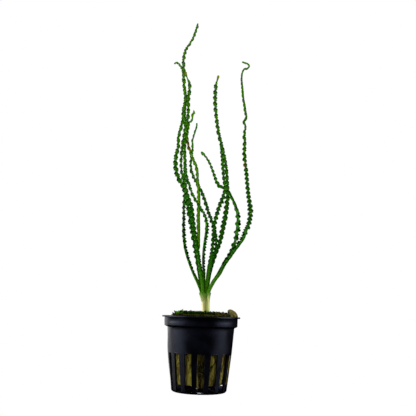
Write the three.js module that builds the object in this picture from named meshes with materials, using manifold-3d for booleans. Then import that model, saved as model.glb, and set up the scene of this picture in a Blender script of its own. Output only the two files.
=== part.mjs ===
// Potted crinum calamistratum: a small water plant with ten narrow, crisped leaves on one pale neck,
// rooted in a plug of mineral wool that stands in a black slotted grower's pot.
// Millimetres, +Z up. The origin is the middle of the pot's flat underside, and -Y is the front.

import * as THREE from "three";
import { mergeVertices } from "three/addons/utils/BufferGeometryUtils.js";
import Module from "manifold-3d";

const wasm = await Module();
wasm.setup();

// Driving dimensions
const GAP = 0.3;

const POT_HEIGHT = 50.7;
const POT_WALL = 1.0;
const POT_SIDES = 45;
const RIM_RADIUS = 27.3;
const RIM_THICKNESS = 1.0;
const BAND_RADIUS = 25.6;
const BAND_BOTTOM = 44.2;
const BAND_DRAFT = 0.1;
const BODY_TOP_RADIUS = 23.35;
const BODY_TOP = 43.0;
const BODY_MIDDLE_RADIUS = 22.0;
const BODY_MIDDLE = 26.6;
const FOOT_RADIUS = 19.1;
const FOOT_ROUNDING = 1.6;
const FLOOR_THICKNESS = 0.8;

const SLOT_COUNT = 15;
const SLOT_PITCH = (2 * Math.PI) / SLOT_COUNT;
const SLOT_TURN = THREE.MathUtils.degToRad(2.5);
const SLOT_WIDTH = 5.1;
const SLOT_BOTTOM = 1.1;
const SLOT_TOP = 26.1;
const DRAIN_INNER = 8.0;
const DRAIN_OUTER = 17.4;
const DRAIN_WIDTH = 5.2;
const DRAIN_INNER_WIDTH = 2.3;
const FIN_COUNT = 5;
const FIN_THICKNESS = 0.9;
const FIN_TOP = 3.5;
const FIN_INNER = 5.5;

const WOOL_BOTTOM = 5.6;
const WOOL_TOP = 50.2;
const WOOL_SIDES = 40;
const WOOL_FOLD_DEPTH = 0.35;
const WOOL_FOLDS = 9;
const WOOL_GAP = 0.4;
const WOOL_PRESSED_X = -18.3;
const WOOL_PRESSED_HEIGHTS = [12, 17, 25, 30];

const MOSS_BOTTOM = 50.5;
const MOSS_CROWN = 54.2;
const MOSS_RADIUS = 20.4;
const MOSS_FLAP_SIDE = 18.1;
const MOSS_SIDES = 30;
const MOSS_LUMP = 0.35;
const SPRIG_X = -13.5;
const SPRIG_Y = -9;
const SPRIG_RADIUS = 4.5;
const SPRIG_RISE = 1.5;

const FLAP_X = 22.2;
const FLAP_Y = -3;
const FLAP_BOTTOM = 51.0;
const FLAP_HALF_WIDTH = 3.1;
const FLAP_HALF_DEPTH = 8.5;
const FLAP_HEIGHT = 4.8;
const FLAP_LEAN = 1.4;
const FLAP_SAG = 0.2;

const NECK_BOTTOM = 40;
const NECK_TOP = 67.3;
const NECK_SIDES = 16;
const NECK_RINGS = 9;
const NECK_FOOT_X = 3.0;
const NECK_HEAD_X = 2.05;
const NECK_STRAIGHT_TO = 54.4;

const LEAF_WAVE = 4.6;
const LEAF_SMOOTH_BELOW = 1.05;
const LEAF_MIDRIB_SHARE = 0.3;
const LEAF_WAVE_DEPTH = 0.75;
const LEAF_PINCH = 0.4;

// The leaves' routes are read from the front, from this eye point.
const EYE = new THREE.Vector3(2.3, -420, 54);

// Each leaf's route runs from its base to its tip. A point is [across, up, depth, half width]: across and up
// lie on the upright plane through the pot's axis, and depth is how far behind that plane the leaf passes.
const LEAVES = [
  {
    name: "leaf_right_tall",
    turn: 12,
    route: [
      [4.4, 68.3, -2.5, 0.9], [7.5, 74.8, -3, 1.2], [11.6, 80.5, -3.7, 1.5], [15.2, 87.7, -4.5, 1.6],
      [19.1, 93.5, -5.3, 1.7], [22.7, 99, -6, 1.8], [27.8, 106.4, -7.2, 1.8], [29.5, 111.1, -8, 1.9],
      [31.4, 115.5, -8.7, 1.9], [32.5, 119.6, -9.5, 1.9], [33, 125.1, -10.3, 1.95], [32.6, 130.2, -11, 1.9],
      [31.5, 136.8, -12, 1.75], [30.4, 145.7, -13, 1.6], [29.5, 154.6, -14, 1.6], [28.3, 162.8, -15, 1.55],
      [27.7, 169.6, -16, 1.5], [27.8, 177.3, -16.8, 1.4], [27.4, 184.1, -17.5, 1.2],
      [28.1, 189.5, -18, 0.75], [26.9, 193.4, -18.4, 0.9], [28.5, 196.8, -18.8, 0.8],
      [27.6, 201.9, -19.2, 0.85], [27, 206.2, -19.6, 0.8], [25.9, 212, -20, 0.8],
      [25.2, 219.1, -20.6, 0.75], [24.4, 227, -21.2, 0.7], [25, 232.6, -21.6, 0.6],
      [26.5, 234.9, -21.8, 0.6], [28.5, 235.4, -22, 0.65], [29.9, 237.4, -22, 0.6],
      [28.5, 239.2, -21.8, 0.6], [24.5, 240.2, -21.3, 0.35],
    ],
  },
  {
    name: "leaf_right_bent",
    turn: -14,
    route: [
      [5.3, 68.4, 1.4, 0.9], [8.1, 74.8, 1.6, 1.2], [11.3, 80.5, 1.9, 1.4], [15, 87.4, 2.3, 1.5],
      [18.6, 93.9, 2.8, 1.7], [21, 99.3, 3.2, 1.8], [22.5, 104, 3.7, 1.9], [23.6, 110.2, 4.2, 2],
      [24.2, 115.7, 4.8, 2], [24.2, 121.9, 5.3, 1.9], [23, 127.2, 5.8, 1.5], [20.8, 132.8, 6.3, 1.2],
      [18.9, 136.4, 6.6, 1.2], [16.7, 140.2, 6.9, 1.3], [14.2, 142.8, 7.2, 1.4], [11.2, 143.5, 7.8, 1.5],
      [8.9, 145.7, 8.6, 1.5], [7.4, 148.6, 9.6, 1.4], [5.9, 152.7, 11, 1.25], [4.2, 157.1, 12.4, 1.1],
      [2.2, 161.6, 13.8, 1], [-0.5, 166, 15.4, 0.85], [-3.7, 169.3, 17, 0.5],
    ],
  },
  {
    name: "leaf_middle_tall",
    turn: 8,
    route: [
      [4.4, 68.3, 0.1, 0.9], [4.6, 74.7, 0.2, 1.1], [5.3, 81, 0.4, 1.2], [6.7, 87.4, 0.5, 1.3],
      [8.8, 94.6, -0.4, 1.5], [11, 101.4, -1.4, 1.7], [12.5, 107.9, -2.2, 1.9], [13.8, 115.3, -2.7, 2],
      [15, 122.3, -3.1, 2], [15.8, 129.7, -3.4, 1.95], [16.2, 136.3, -3.6, 1.8], [16.1, 141.5, -3.8, 1.6],
      [15.6, 147.8, -4, 1.5], [15, 154.9, -4.3, 1.45], [14.1, 160.9, -4.7, 1.45], [12.7, 167.6, -5.2, 1.45],
      [11.2, 173.6, -5.6, 1.45], [9.7, 178.9, -6, 1.5], [8.3, 184.3, -6.4, 1.5], [6.8, 193.1, -7, 1.5],
      [5.8, 200.4, -7.5, 1.5], [5.1, 208.2, -8, 1.5], [5, 216, -8.6, 1.5], [5.4, 222.4, -9, 1.35],
      [6.3, 226, -9.3, 0.8], [6.8, 228.8, -9.5, 0.6],
    ],
  },
  {
    name: "leaf_middle_short",
    turn: -10,
    route: [
      [2.8, 68.3, -1.2, 0.9], [3.2, 74.6, -2, 1.1], [3.9, 81, -3, 1.3], [4.9, 87.4, -3.4, 1.5],
      [6, 95.3, -2.2, 1.6], [6.7, 103.2, -0.6, 1.6], [7, 110.4, 0.3, 1.6], [7.6, 117.7, 0.9, 1.7],
      [9.2, 124.7, 1.3, 1.75], [10.6, 129.5, 1.5, 1.7], [12.3, 134, 1.5, 1.65], [13.6, 138.4, 1.5, 1.6],
      [14.2, 142.5, 1.6, 1.5], [13.6, 147.3, 1.7, 1.4], [12.8, 152.6, 1.9, 1.4], [12.3, 158.5, 2.3, 1.4],
      [11.6, 165.3, 3, 1.4], [10.7, 171, 3.8, 1.2], [9.9, 175, 4.5, 0.6],
    ],
  },
  {
    name: "leaf_inner_curved",
    turn: 15,
    route: [
      [2.7, 68.3, 1.4, 0.9], [3, 74.6, 2.2, 1], [4.2, 82.4, 3.2, 1.1], [6.1, 90.3, 4.2, 1.2],
      [8.1, 96.8, 4.8, 1.3], [8.9, 101.8, 5.2, 1.35], [8.5, 107.9, 5.6, 1.4], [6.5, 114.7, 5.8, 1.5],
      [4.6, 120.1, 5.8, 1.5], [2.8, 124.2, 5.7, 1.5], [1.2, 129.2, 5.5, 1.5], [-0.3, 133.5, 5.2, 1.45],
      [-1.9, 137.6, 4.9, 1.5], [-3.8, 141.2, 4.7, 1.5], [-6.1, 145.6, 4.6, 1.4], [-8.3, 149.1, 4.6, 1.3],
      [-9.9, 152.6, 4.8, 1.3], [-11.1, 156.6, 5, 1.2], [-11.4, 162.3, 5.4, 1.1], [-10.8, 167.6, 5.8, 1.1],
      [-10.5, 172.5, 6.2, 1], [-10.8, 177.5, 6.6, 0.85], [-10, 181.3, 7, 0.75], [-9, 185.2, 7.4, 0.75],
      [-8.1, 188.3, 7.7, 0.65], [-8, 191.3, 8, 0.5],
    ],
  },
  {
    name: "leaf_inner_tall",
    turn: -8,
    route: [
      [1.3, 68.2, 0.1, 0.9], [1.2, 74.6, -0.4, 0.95], [0.9, 81.6, -1.2, 1.1], [0.3, 88.7, -2.2, 1.2],
      [0.4, 96.5, -3.4, 1.3], [1.1, 103.7, -4.6, 1.4], [1.9, 110.2, -5.6, 1.5], [1.9, 115.3, -6.4, 1.5],
      [0.9, 120.4, -7.2, 1.4], [-1, 124.3, -7.9, 1.3], [-3.1, 127.6, -8.3, 1.2], [-5, 130.4, -8.6, 1.1],
      [-6.9, 133.3, -8.8, 1.2], [-8.7, 136.2, -9, 1.2], [-10.1, 139.1, -9.2, 1.2],
      [-11.1, 142.1, -9.3, 1.2], [-12.4, 145.4, -9.4, 1.3], [-13.7, 149.1, -9.4, 1.3],
      [-14.6, 153.1, -9.5, 1.3], [-15.3, 158.4, -9.5, 1.3], [-15.8, 164.4, -9.6, 1.3],
      [-16.3, 170.4, -9.7, 1.3], [-16.2, 177.3, -9.9, 1.35], [-15.9, 183.4, -10.1, 1.4],
      [-15.4, 189.6, -10.4, 1.4], [-14.8, 195.8, -10.8, 1.4], [-14.7, 202.1, -11.2, 1.4],
      [-15, 208.3, -11.8, 1.4], [-14.7, 213.8, -12.3, 1.5], [-14.3, 219.3, -12.8, 1.4],
      [-15.1, 223.3, -13.2, 1.2], [-16.2, 226.1, -13.6, 0.9], [-17.3, 228.1, -13.9, 0.7],
      [-17.8, 230.5, -14.2, 0.5],
    ],
  },
  {
    name: "leaf_bright",
    turn: 10,
    route: [
      [1.4, 68.2, 2.7, 0.9], [-0.5, 74.5, 3, 0.9], [-2.4, 80.8, 3.3, 1], [-3.8, 87.1, 3.5, 1.05],
      [-4, 92.8, 3.5, 1.1], [-3.6, 98.5, 3.3, 1.15], [-3.8, 105.7, 2.6, 1.15], [-4.3, 113.7, 1.8, 1.15],
      [-4.8, 121.6, 1, 1.1], [-4.6, 129.7, 0.4, 1.1], [-4.9, 136.3, 0.1, 1.15], [-5.4, 142.3, 0, 1.15],
      [-6, 148.9, 0, 1.2], [-6.6, 154.9, 0, 1.3], [-7.6, 159, 0, 1.3], [-9.2, 162.1, 0, 1.3],
      [-10.5, 165.3, 0.1, 1.3], [-11.6, 168.6, 0.2, 1.3], [-13.1, 171.7, 0.4, 1.3], [-14, 175.5, 0.7, 1.2],
      [-14.7, 179.7, 1, 1.1], [-14.7, 183.9, 1.3, 1.1], [-14.2, 187.7, 1.6, 1.1], [-13.7, 191.1, 1.9, 0.9],
      [-12.2, 192.9, 2.2, 0.9], [-11.4, 194.9, 2.5, 0.85], [-11.5, 197.3, 2.8, 0.8],
      [-10.5, 199.1, 3.1, 0.8], [-10.7, 201.1, 3.4, 0.35],
    ],
  },
  {
    name: "leaf_front_left",
    turn: 0,
    route: [
      [0.4, 68.2, -2.5, 0.9], [-0.3, 74.5, -2.8, 1.2], [-1.3, 80.8, -3.2, 1.5], [-2.6, 87.1, -3.7, 1.8],
      [-3.7, 93.5, -4.2, 1.8], [-4.9, 99.9, -4.6, 1.7], [-6.3, 106.4, -4.9, 1.7], [-7.4, 112.8, -5.1, 1.75],
      [-8.4, 119.3, -5.2, 1.75], [-9.3, 125.2, -5.3, 1.7], [-10.4, 130.3, -5.4, 1.7],
      [-12.4, 135, -5.4, 1.65], [-13.8, 139.8, -5.4, 1.5], [-14.8, 144.5, -5.3, 1.3],
      [-15.5, 149.4, -5.2, 1.2], [-15.7, 154.6, -5.1, 1.1], [-15.8, 160.6, -4.9, 1],
      [-16.1, 166.7, -4.8, 0.95], [-16.2, 172.7, -4.7, 0.9], [-16.2, 178.8, -4.6, 0.8],
      [-15.9, 185, -4.5, 0.4],
    ],
  },
  {
    name: "leaf_tallest",
    turn: -12,
    route: [
      [-0.3, 68.2, 1.4, 0.9], [-1.5, 74.5, 0.6, 1], [-2.7, 80.8, -0.2, 1.1], [-3.9, 87.1, -0.5, 1.2],
      [-5.2, 93.5, -0.8, 1.4], [-6.4, 99.9, -1, 1.5], [-7.6, 106.3, -1.1, 1.6], [-9, 112.8, -1.2, 1.7],
      [-10.2, 118.6, -1.2, 1.75], [-11.4, 124.4, -1.2, 1.7], [-12.7, 130.2, -1.2, 1.65],
      [-14, 135.3, -1.2, 1.6], [-15.3, 140.1, -1.2, 1.6], [-17.2, 144.5, -1.2, 1.7],
      [-19.5, 148.3, -1.2, 1.8], [-21.4, 152.9, -1.3, 1.85], [-22.4, 158.1, -1.4, 1.85],
      [-22.6, 163.4, -1.4, 1.75], [-21.9, 168.4, -1.5, 1.6], [-21, 173.3, -1.6, 1.4],
      [-21.2, 178.7, -1.7, 1.3], [-20.4, 184.1, -1.8, 1.3], [-19.1, 189.5, -1.9, 1.4],
      [-18.3, 194.9, -2, 1.4], [-18.3, 200.4, -2.1, 1.4], [-17.6, 205.9, -2.3, 1.3],
      [-17.3, 211.3, -2.5, 1.3], [-18.1, 216.8, -2.8, 1.3], [-18.5, 222.3, -3.1, 1.25],
      [-18.9, 227.9, -3.5, 1.25], [-19.3, 233.4, -4, 1.3], [-19.8, 239.4, -4.6, 1.35],
      [-19.3, 245.1, -5.2, 1.35], [-17.9, 249.9, -5.8, 1.2], [-16, 252.9, -6.2, 0.9],
      [-14.3, 256.2, -6.6, 0.8], [-12.8, 259.5, -7, 0.8], [-11.7, 263.2, -7.4, 0.75],
      [-10.7, 266.9, -7.8, 0.75], [-10.2, 270.5, -8.2, 0.4],
    ],
  },
  {
    name: "leaf_far_left",
    turn: 6,
    route: [
      [-1, 68.2, -1.2, 0.9], [-3.4, 74.4, -1.2, 1.1], [-6, 79.6, -1.1, 1.15], [-8.5, 85.2, -0.8, 1.2],
      [-10.9, 91.5, -0.3, 1.3], [-12.9, 98.2, 0.3, 1.4], [-14.1, 105.4, 0.9, 1.45],
      [-14.7, 112.6, 1.4, 1.45], [-14.9, 120.6, 1.9, 1.4], [-15.2, 128.6, 2.3, 1.3], [-15, 135.3, 2.6, 1.2],
      [-15.1, 140.5, 2.8, 1.2], [-16.1, 146.7, 3, 1.2], [-17.5, 152.3, 3.1, 1.2], [-18.4, 158.3, 3.2, 1.2],
      [-18.5, 164.3, 3.3, 1.25], [-18.3, 170.4, 3.4, 1.3], [-17.8, 176.5, 3.5, 1.3], [-17, 182.6, 3.7, 1.3],
      [-16.5, 188.8, 4, 1.25], [-16.9, 195, 4.3, 1.1], [-17.3, 200.8, 4.7, 1.2], [-16.7, 206.7, 5.1, 1.3],
      [-16.9, 212.5, 5.6, 1.3], [-18.4, 218.4, 6.2, 1.2], [-19.4, 224.7, 7, 1.1], [-19.8, 230.2, 8, 0.9],
      [-20.8, 233.9, 8.8, 0.85], [-22.1, 235.9, 9.4, 0.8], [-23.5, 237.6, 10, 0.7],
      [-25.1, 238.2, 10.6, 0.65], [-26.7, 237.3, 11.2, 0.4],
    ],
  },
];

// Materials
const blackPlastic = new THREE.MeshStandardMaterial({ color: 0x0b0b10, roughness: 0.35, metalness: 0 });
const wetWool = new THREE.MeshStandardMaterial({ color: 0x6b6424, roughness: 0.9, metalness: 0 });
const darkMoss = new THREE.MeshStandardMaterial({ color: 0x1e3410, roughness: 0.9, metalness: 0 });
const paleSheath = new THREE.MeshStandardMaterial({ color: 0xb9bf84, roughness: 0.45, metalness: 0 });
const leafGreen = new THREE.MeshStandardMaterial({ color: 0x1f6a10, roughness: 0.4, metalness: 0 });
const brightLeafGreen = new THREE.MeshStandardMaterial({ color: 0x4f9400, roughness: 0.4, metalness: 0 });

// Shared shape tools

// Moves every vertex of a geometry to the place that the given function returns for it.
function reshape(geometry, place) {
  const positions = geometry.attributes.position;
  const vertex = new THREE.Vector3();
  for (let i = 0; i < positions.count; i += 1) {
    vertex.fromBufferAttribute(positions, i);
    const moved = place(vertex);
    positions.setXYZ(i, moved.x, moved.y, moved.z);
  }
  return welded(geometry);
}

// Joins the vertices that share a place, so that the mesh is one closed body.
function welded(geometry) {
  geometry.deleteAttribute("normal");
  geometry.deleteAttribute("uv");
  const joined = mergeVertices(geometry, 1e-4);
  joined.computeVertexNormals();
  return joined;
}

function toSolid(geometry) {
  const body = geometry.clone();
  body.deleteAttribute("normal");
  body.deleteAttribute("uv");
  const joined = mergeVertices(body, 1e-4);
  return new wasm.Manifold(new wasm.Mesh({
    numProp: 3,
    vertProperties: new Float32Array(joined.attributes.position.array),
    triVerts: new Uint32Array(joined.index.array),
  }));
}

function toGeometry(solid) {
  const result = solid.getMesh();
  const geometry = new THREE.BufferGeometry();
  geometry.setAttribute("position", new THREE.BufferAttribute(result.vertProperties, 3));
  geometry.setIndex(new THREE.BufferAttribute(result.triVerts, 1));
  geometry.computeVertexNormals();
  return geometry;
}

// A box that reaches outwards along a bearing, which is measured from the front, towards the right. Its
// inner end may have a width of its own.
function radialBox(bearing, inner, outer, width, bottom, top, innerWidth = width) {
  const box = new THREE.BoxGeometry(1, outer - inner, top - bottom);
  const wedge = reshape(box, (v) => new THREE.Vector3(v.x * (v.y < 0 ? width : innerWidth), v.y, v.z));
  wedge.translate(0, -(inner + outer) / 2, (bottom + top) / 2);
  wedge.rotateZ(bearing);
  return toSolid(wedge);
}

function named(name, geometry, material) {
  const mesh = new THREE.Mesh(geometry, material);
  mesh.name = name;
  return mesh;
}

// The pot's outer radius on its body, which tapers more below its middle than above.
function bodyRadius(height) {
  if (height > BODY_MIDDLE) {
    const share = (height - BODY_MIDDLE) / (BODY_TOP - BODY_MIDDLE);
    return THREE.MathUtils.lerp(BODY_MIDDLE_RADIUS, BODY_TOP_RADIUS, share);
  }
  const share = (height - FOOT_ROUNDING) / (BODY_MIDDLE - FOOT_ROUNDING);
  return THREE.MathUtils.lerp(FOOT_RADIUS, BODY_MIDDLE_RADIUS, share);
}

// The pot is one moulding: a tapered body with a rounded foot, a wider band and a flat rim. Its wall is
// opened by tall slots, its floor by wedge-shaped drains, and five low fins stand on the floor.
function makePot() {
  const outline = new THREE.Path();
  outline.moveTo(0, 0);
  outline.lineTo(FOOT_RADIUS - FOOT_ROUNDING, 0);
  outline.quadraticCurveTo(FOOT_RADIUS, 0, FOOT_RADIUS, FOOT_ROUNDING);
  outline.lineTo(BODY_MIDDLE_RADIUS, BODY_MIDDLE);
  outline.lineTo(BODY_TOP_RADIUS, BODY_TOP);
  outline.lineTo(BAND_RADIUS - BAND_DRAFT, BAND_BOTTOM);
  outline.lineTo(BAND_RADIUS, POT_HEIGHT - RIM_THICKNESS);
  outline.lineTo(RIM_RADIUS, POT_HEIGHT - RIM_THICKNESS);
  outline.lineTo(RIM_RADIUS, POT_HEIGHT);
  outline.lineTo(BAND_RADIUS - POT_WALL, POT_HEIGHT);
  outline.lineTo(BAND_RADIUS - POT_WALL, BAND_BOTTOM + POT_WALL);
  outline.lineTo(BODY_TOP_RADIUS - POT_WALL, BODY_TOP);
  outline.lineTo(BODY_MIDDLE_RADIUS - POT_WALL, BODY_MIDDLE);
  outline.lineTo(FOOT_RADIUS - POT_WALL, FLOOR_THICKNESS + POT_WALL);
  outline.lineTo(FOOT_RADIUS - 2 * POT_WALL, FLOOR_THICKNESS);
  outline.lineTo(0, FLOOR_THICKNESS);
  const turned = new THREE.LatheGeometry(outline.getPoints(3), POT_SIDES);
  turned.rotateX(Math.PI / 2);
  let pot = toSolid(turned);
  for (let i = 0; i < FIN_COUNT; i += 1) {
    const bearing = SLOT_TURN + SLOT_PITCH * (1.5 + (i * SLOT_COUNT) / FIN_COUNT);
    pot = pot.add(radialBox(bearing, FIN_INNER, FOOT_RADIUS - POT_WALL / 2, FIN_THICKNESS, 0.5, FIN_TOP));
  }
  for (let i = 0; i < SLOT_COUNT; i += 1) {
    const bearing = SLOT_TURN + SLOT_PITCH * i;
    pot = pot.subtract(radialBox(bearing, FOOT_RADIUS - 3, RIM_RADIUS, SLOT_WIDTH, SLOT_BOTTOM, SLOT_TOP));
    pot = pot.subtract(
      radialBox(bearing, DRAIN_INNER, DRAIN_OUTER, DRAIN_WIDTH, -1, FIN_TOP, DRAIN_INNER_WIDTH),
    );
  }
  return named("pot", toGeometry(pot), blackPlastic);
}

// The plug fills the pot. Its side has shallow upright folds, and its left side is pressed flat, so that
// light passes between it and the wall there.
function makeWoolPlug(neckHole) {
  const outline = new THREE.Path();
  outline.moveTo(0, WOOL_BOTTOM);
  for (const height of [WOOL_BOTTOM, ...WOOL_PRESSED_HEIGHTS, BODY_TOP]) {
    outline.lineTo(bodyRadius(height) - POT_WALL - WOOL_GAP, height);
  }
  outline.lineTo(BAND_RADIUS - POT_WALL - WOOL_GAP, BAND_BOTTOM + POT_WALL);
  outline.lineTo(BAND_RADIUS - POT_WALL - WOOL_GAP, WOOL_TOP);
  outline.lineTo(0, WOOL_TOP);
  const turned = new THREE.LatheGeometry(outline.getPoints(), WOOL_SIDES);
  turned.rotateX(Math.PI / 2);
  const plug = reshape(turned, (v) => {
    const bearing = Math.atan2(v.y, v.x);
    const fold = WOOL_FOLD_DEPTH * (0.5 + 0.5 * Math.sin(WOOL_FOLDS * bearing + Math.sin(3 * bearing)));
    const radius = Math.max(0, Math.hypot(v.x, v.y) - fold);
    const x = radius * Math.cos(bearing);
    const pressed = v.z > WOOL_PRESSED_HEIGHTS[0] && v.z < WOOL_PRESSED_HEIGHTS[3];
    return new THREE.Vector3(pressed ? Math.max(x, WOOL_PRESSED_X) : x, radius * Math.sin(bearing), v.z);
  });
  return named("wool_plug", toGeometry(toSolid(plug).subtract(neckHole)), wetWool);
}

// The moss is a low lumpy cushion on the wool, with a taller sprig at its front left. It is flattened
// where the torn flap of wool stands beside it.
function makeMoss(neckHole) {
  const outline = new THREE.Path();
  outline.moveTo(0, MOSS_BOTTOM);
  outline.lineTo(MOSS_RADIUS - 1, MOSS_BOTTOM);
  outline.quadraticCurveTo(MOSS_RADIUS + 0.6, MOSS_CROWN - 1, MOSS_RADIUS - 2.5, MOSS_CROWN - 0.5);
  for (const share of [0.72, 0.54, 0.36, 0.18, 0]) {
    outline.lineTo(MOSS_RADIUS * share, MOSS_CROWN - 0.4 * share);
  }
  const cushion = new THREE.LatheGeometry(outline.getPoints(4), MOSS_SIDES);
  cushion.rotateX(Math.PI / 2);
  const moss = reshape(cushion, (v) => {
    const x = Math.min(v.x, MOSS_FLAP_SIDE);
    const share = (v.z - MOSS_BOTTOM) / (MOSS_CROWN - MOSS_BOTTOM);
    const lump = MOSS_LUMP * Math.sin(x * 0.95 + 0.6) * Math.cos(v.y * 0.85 - 0.4);
    const toSprig = Math.hypot(x - SPRIG_X, v.y - SPRIG_Y);
    const sprig = SPRIG_RISE * Math.max(0, 1 - toSprig / SPRIG_RADIUS);
    return new THREE.Vector3(x, v.y, v.z + share * (lump + sprig));
  });
  return named("moss", toGeometry(toSolid(moss).subtract(neckHole)), darkMoss);
}

// The flap is a torn corner of wool that stands up beside the moss and hangs over the rim. It is the upper
// half of a ball, drawn out from front to back and leaning towards the moss, on an almost flat underside.
function makeWoolFlap() {
  const ball = new THREE.SphereGeometry(1, 14, 10);
  ball.rotateX(Math.PI / 2);
  const flap = reshape(ball, (v) => {
    const above = Math.max(v.z, 0);
    const lump = 1 + 0.08 * Math.sin(7 * v.y + 2 * v.x);
    const x = v.x * FLAP_HALF_WIDTH * lump - above * FLAP_LEAN;
    const y = v.y * FLAP_HALF_DEPTH * lump;
    return new THREE.Vector3(x, y, v.z > 0 ? v.z * FLAP_HEIGHT : v.z * FLAP_SAG);
  });
  const mesh = named("wool_flap", flap, wetWool);
  mesh.position.set(FLAP_X, FLAP_Y, FLAP_BOTTOM + FLAP_SAG);
  return mesh;
}

// The neck is the bundle of leaf bases: an upright stalk that widens below the leaves.
function neckRadius(height) {
  const rise = Math.max(0, height - NECK_STRAIGHT_TO) / (NECK_TOP - NECK_STRAIGHT_TO);
  return 2.68 + 0.7 * rise + 0.85 * rise ** 4;
}

function neckCentre(height) {
  const rise = Math.max(0, height - NECK_STRAIGHT_TO) / (NECK_TOP - NECK_STRAIGHT_TO);
  return THREE.MathUtils.lerp(NECK_FOOT_X, NECK_HEAD_X, rise);
}

function makeNeck() {
  const stalk = new THREE.CylinderGeometry(1, 1, 1, NECK_SIDES, NECK_RINGS);
  stalk.rotateX(Math.PI / 2);
  const neck = reshape(stalk, (v) => {
    const height = THREE.MathUtils.lerp(NECK_BOTTOM, NECK_TOP, v.z + 0.5);
    const radius = neckRadius(height);
    return new THREE.Vector3(neckCentre(height) + v.x * radius, v.y * radius, height);
  });
  return named("neck", neck, paleSheath);
}

function makeNeckHole() {
  const radius = neckRadius(NECK_STRAIGHT_TO) + GAP;
  const depth = MOSS_CROWN + 3 - (NECK_BOTTOM - GAP);
  const drill = new THREE.CylinderGeometry(radius, radius, depth, NECK_SIDES);
  drill.rotateX(Math.PI / 2);
  drill.translate(NECK_FOOT_X, 0, NECK_BOTTOM - GAP + depth / 2);
  return toSolid(drill);
}

// The point that is seen at a place on the upright plane through the pot's axis, moved to its own depth
// along the line of sight.
function seen([across, up, depth]) {
  const onPlane = new THREE.Vector3(across, 0, up);
  return onPlane.sub(EYE).multiplyScalar(1 - depth / EYE.y).add(EYE);
}

// Turns the diagonals of a four-sided ribbon's faces, so that each diagonal starts at an edge point that
// steps out. Its front and back then bend along the same lines, and the one can't pass through the other.
function matchDiagonals(ribbon, rings) {
  const index = ribbon.index.array;
  for (let face = 0; face < 4 * rings; face += 1) {
    const column = Math.floor(face / rings);
    const row = face % rings;
    if ((column + row) % 2 === 1) {
      const [a, b, d, , c] = index.slice(6 * face, 6 * face + 6);
      index.set([a, b, c, a, c, d], 6 * face);
    }
  }
}

// A leaf is a narrow ribbon with a midrib on both faces and crisped edges. Its section is a flat diamond:
// the edges step out and back towards the midrib from one ring to the next, and to the front and the back
// in turn, which makes the crisped waves. The stalk end and the thin tip are smooth.
function makeLeaf({ name, turn, route }) {
  const curve = new THREE.CatmullRomCurve3(route.map(seen), false, "catmullrom", 0.5);
  curve.arcLengthDivisions = 400;
  const rings = 2 * Math.round(curve.getLength() / LEAF_WAVE);
  const yaw = THREE.MathUtils.degToRad(turn);
  const facing = new THREE.Vector3(Math.sin(yaw), -Math.cos(yaw), 0);
  const ribbon = new THREE.CylinderGeometry(1, 1, 1, 4, rings);
  matchDiagonals(ribbon, rings);
  const leaf = reshape(ribbon, (v) => {
    const share = THREE.MathUtils.clamp(v.y + 0.5, 0, 1);
    const ring = Math.round(share * rings);
    const t = curve.getUtoTmapping(share);
    const along = t * (route.length - 1);
    const before = Math.min(Math.floor(along), route.length - 2);
    const half = THREE.MathUtils.lerp(route[before][3], route[before + 1][3], along - before);
    const forward = curve.getTangent(t);
    const front = facing.clone().addScaledVector(forward, -facing.dot(forward)).normalize();
    const side = new THREE.Vector3().crossVectors(forward, front);
    const crisp = Math.max(0, half - LEAF_SMOOTH_BELOW);
    const outward = ring % 2 === 0;
    const reach = outward ? half : half - LEAF_PINCH * Math.min(crisp * 2, half);
    const wave = LEAF_WAVE_DEPTH * Math.min(crisp * 2, 1) * (outward ? 1 : -1);
    const thick = Math.max(half * LEAF_MIDRIB_SHARE, 0.3);
    return curve.getPoint(t)
      .addScaledVector(side, v.x * reach)
      .addScaledVector(front, v.z * thick + Math.abs(v.x) * wave);
  });
  return named(name, leaf, name === "leaf_bright" ? brightLeafGreen : leafGreen);
}

const neckHole = makeNeckHole();
const plant = new THREE.Group();
plant.add(makeNeck(), ...LEAVES.map(makeLeaf));

const filling = new THREE.Group();
filling.add(makeWoolPlug(neckHole), makeMoss(neckHole), makeWoolFlap());

const pottedPlant = new THREE.Group();
pottedPlant.add(makePot(), filling, plant);

export default pottedPlant;
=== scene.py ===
"""Potted crinum calamistratum: the looks of the plant, its growing medium and its pot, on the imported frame.

Every surface is worked out in millimetres as numpy arrays, with +Z up and -Y to the front, and is put into
Blender in metres, in the same frame as the CAD.
"""

import bpy
import numpy as np
from mathutils import Matrix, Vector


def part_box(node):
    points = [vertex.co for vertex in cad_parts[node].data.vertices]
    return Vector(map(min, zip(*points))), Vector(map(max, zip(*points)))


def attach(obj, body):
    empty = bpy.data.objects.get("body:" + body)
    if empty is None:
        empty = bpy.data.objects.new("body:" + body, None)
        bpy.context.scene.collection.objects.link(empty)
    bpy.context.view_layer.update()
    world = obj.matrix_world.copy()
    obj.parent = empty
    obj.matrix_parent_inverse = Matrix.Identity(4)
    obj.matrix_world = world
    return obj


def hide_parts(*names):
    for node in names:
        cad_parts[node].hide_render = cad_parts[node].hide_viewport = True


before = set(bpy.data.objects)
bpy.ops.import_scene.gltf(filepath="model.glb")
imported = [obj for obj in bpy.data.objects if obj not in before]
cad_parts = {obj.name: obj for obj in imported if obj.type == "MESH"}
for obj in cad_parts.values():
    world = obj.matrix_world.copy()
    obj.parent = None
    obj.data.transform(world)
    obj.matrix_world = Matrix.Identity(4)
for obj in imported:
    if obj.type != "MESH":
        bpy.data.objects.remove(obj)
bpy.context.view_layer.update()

bl_info = {
    "name": "Potted crinum",
    "version": (1, 0, 0),
    "blender": (4, 5, 0),
    "location": "3D View > Sidebar > Crinum",
    "description": "Builds a potted crinum calamistratum in a slotted grower's pot",
    "category": "Add Mesh",
}

MM = 0.001

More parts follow.
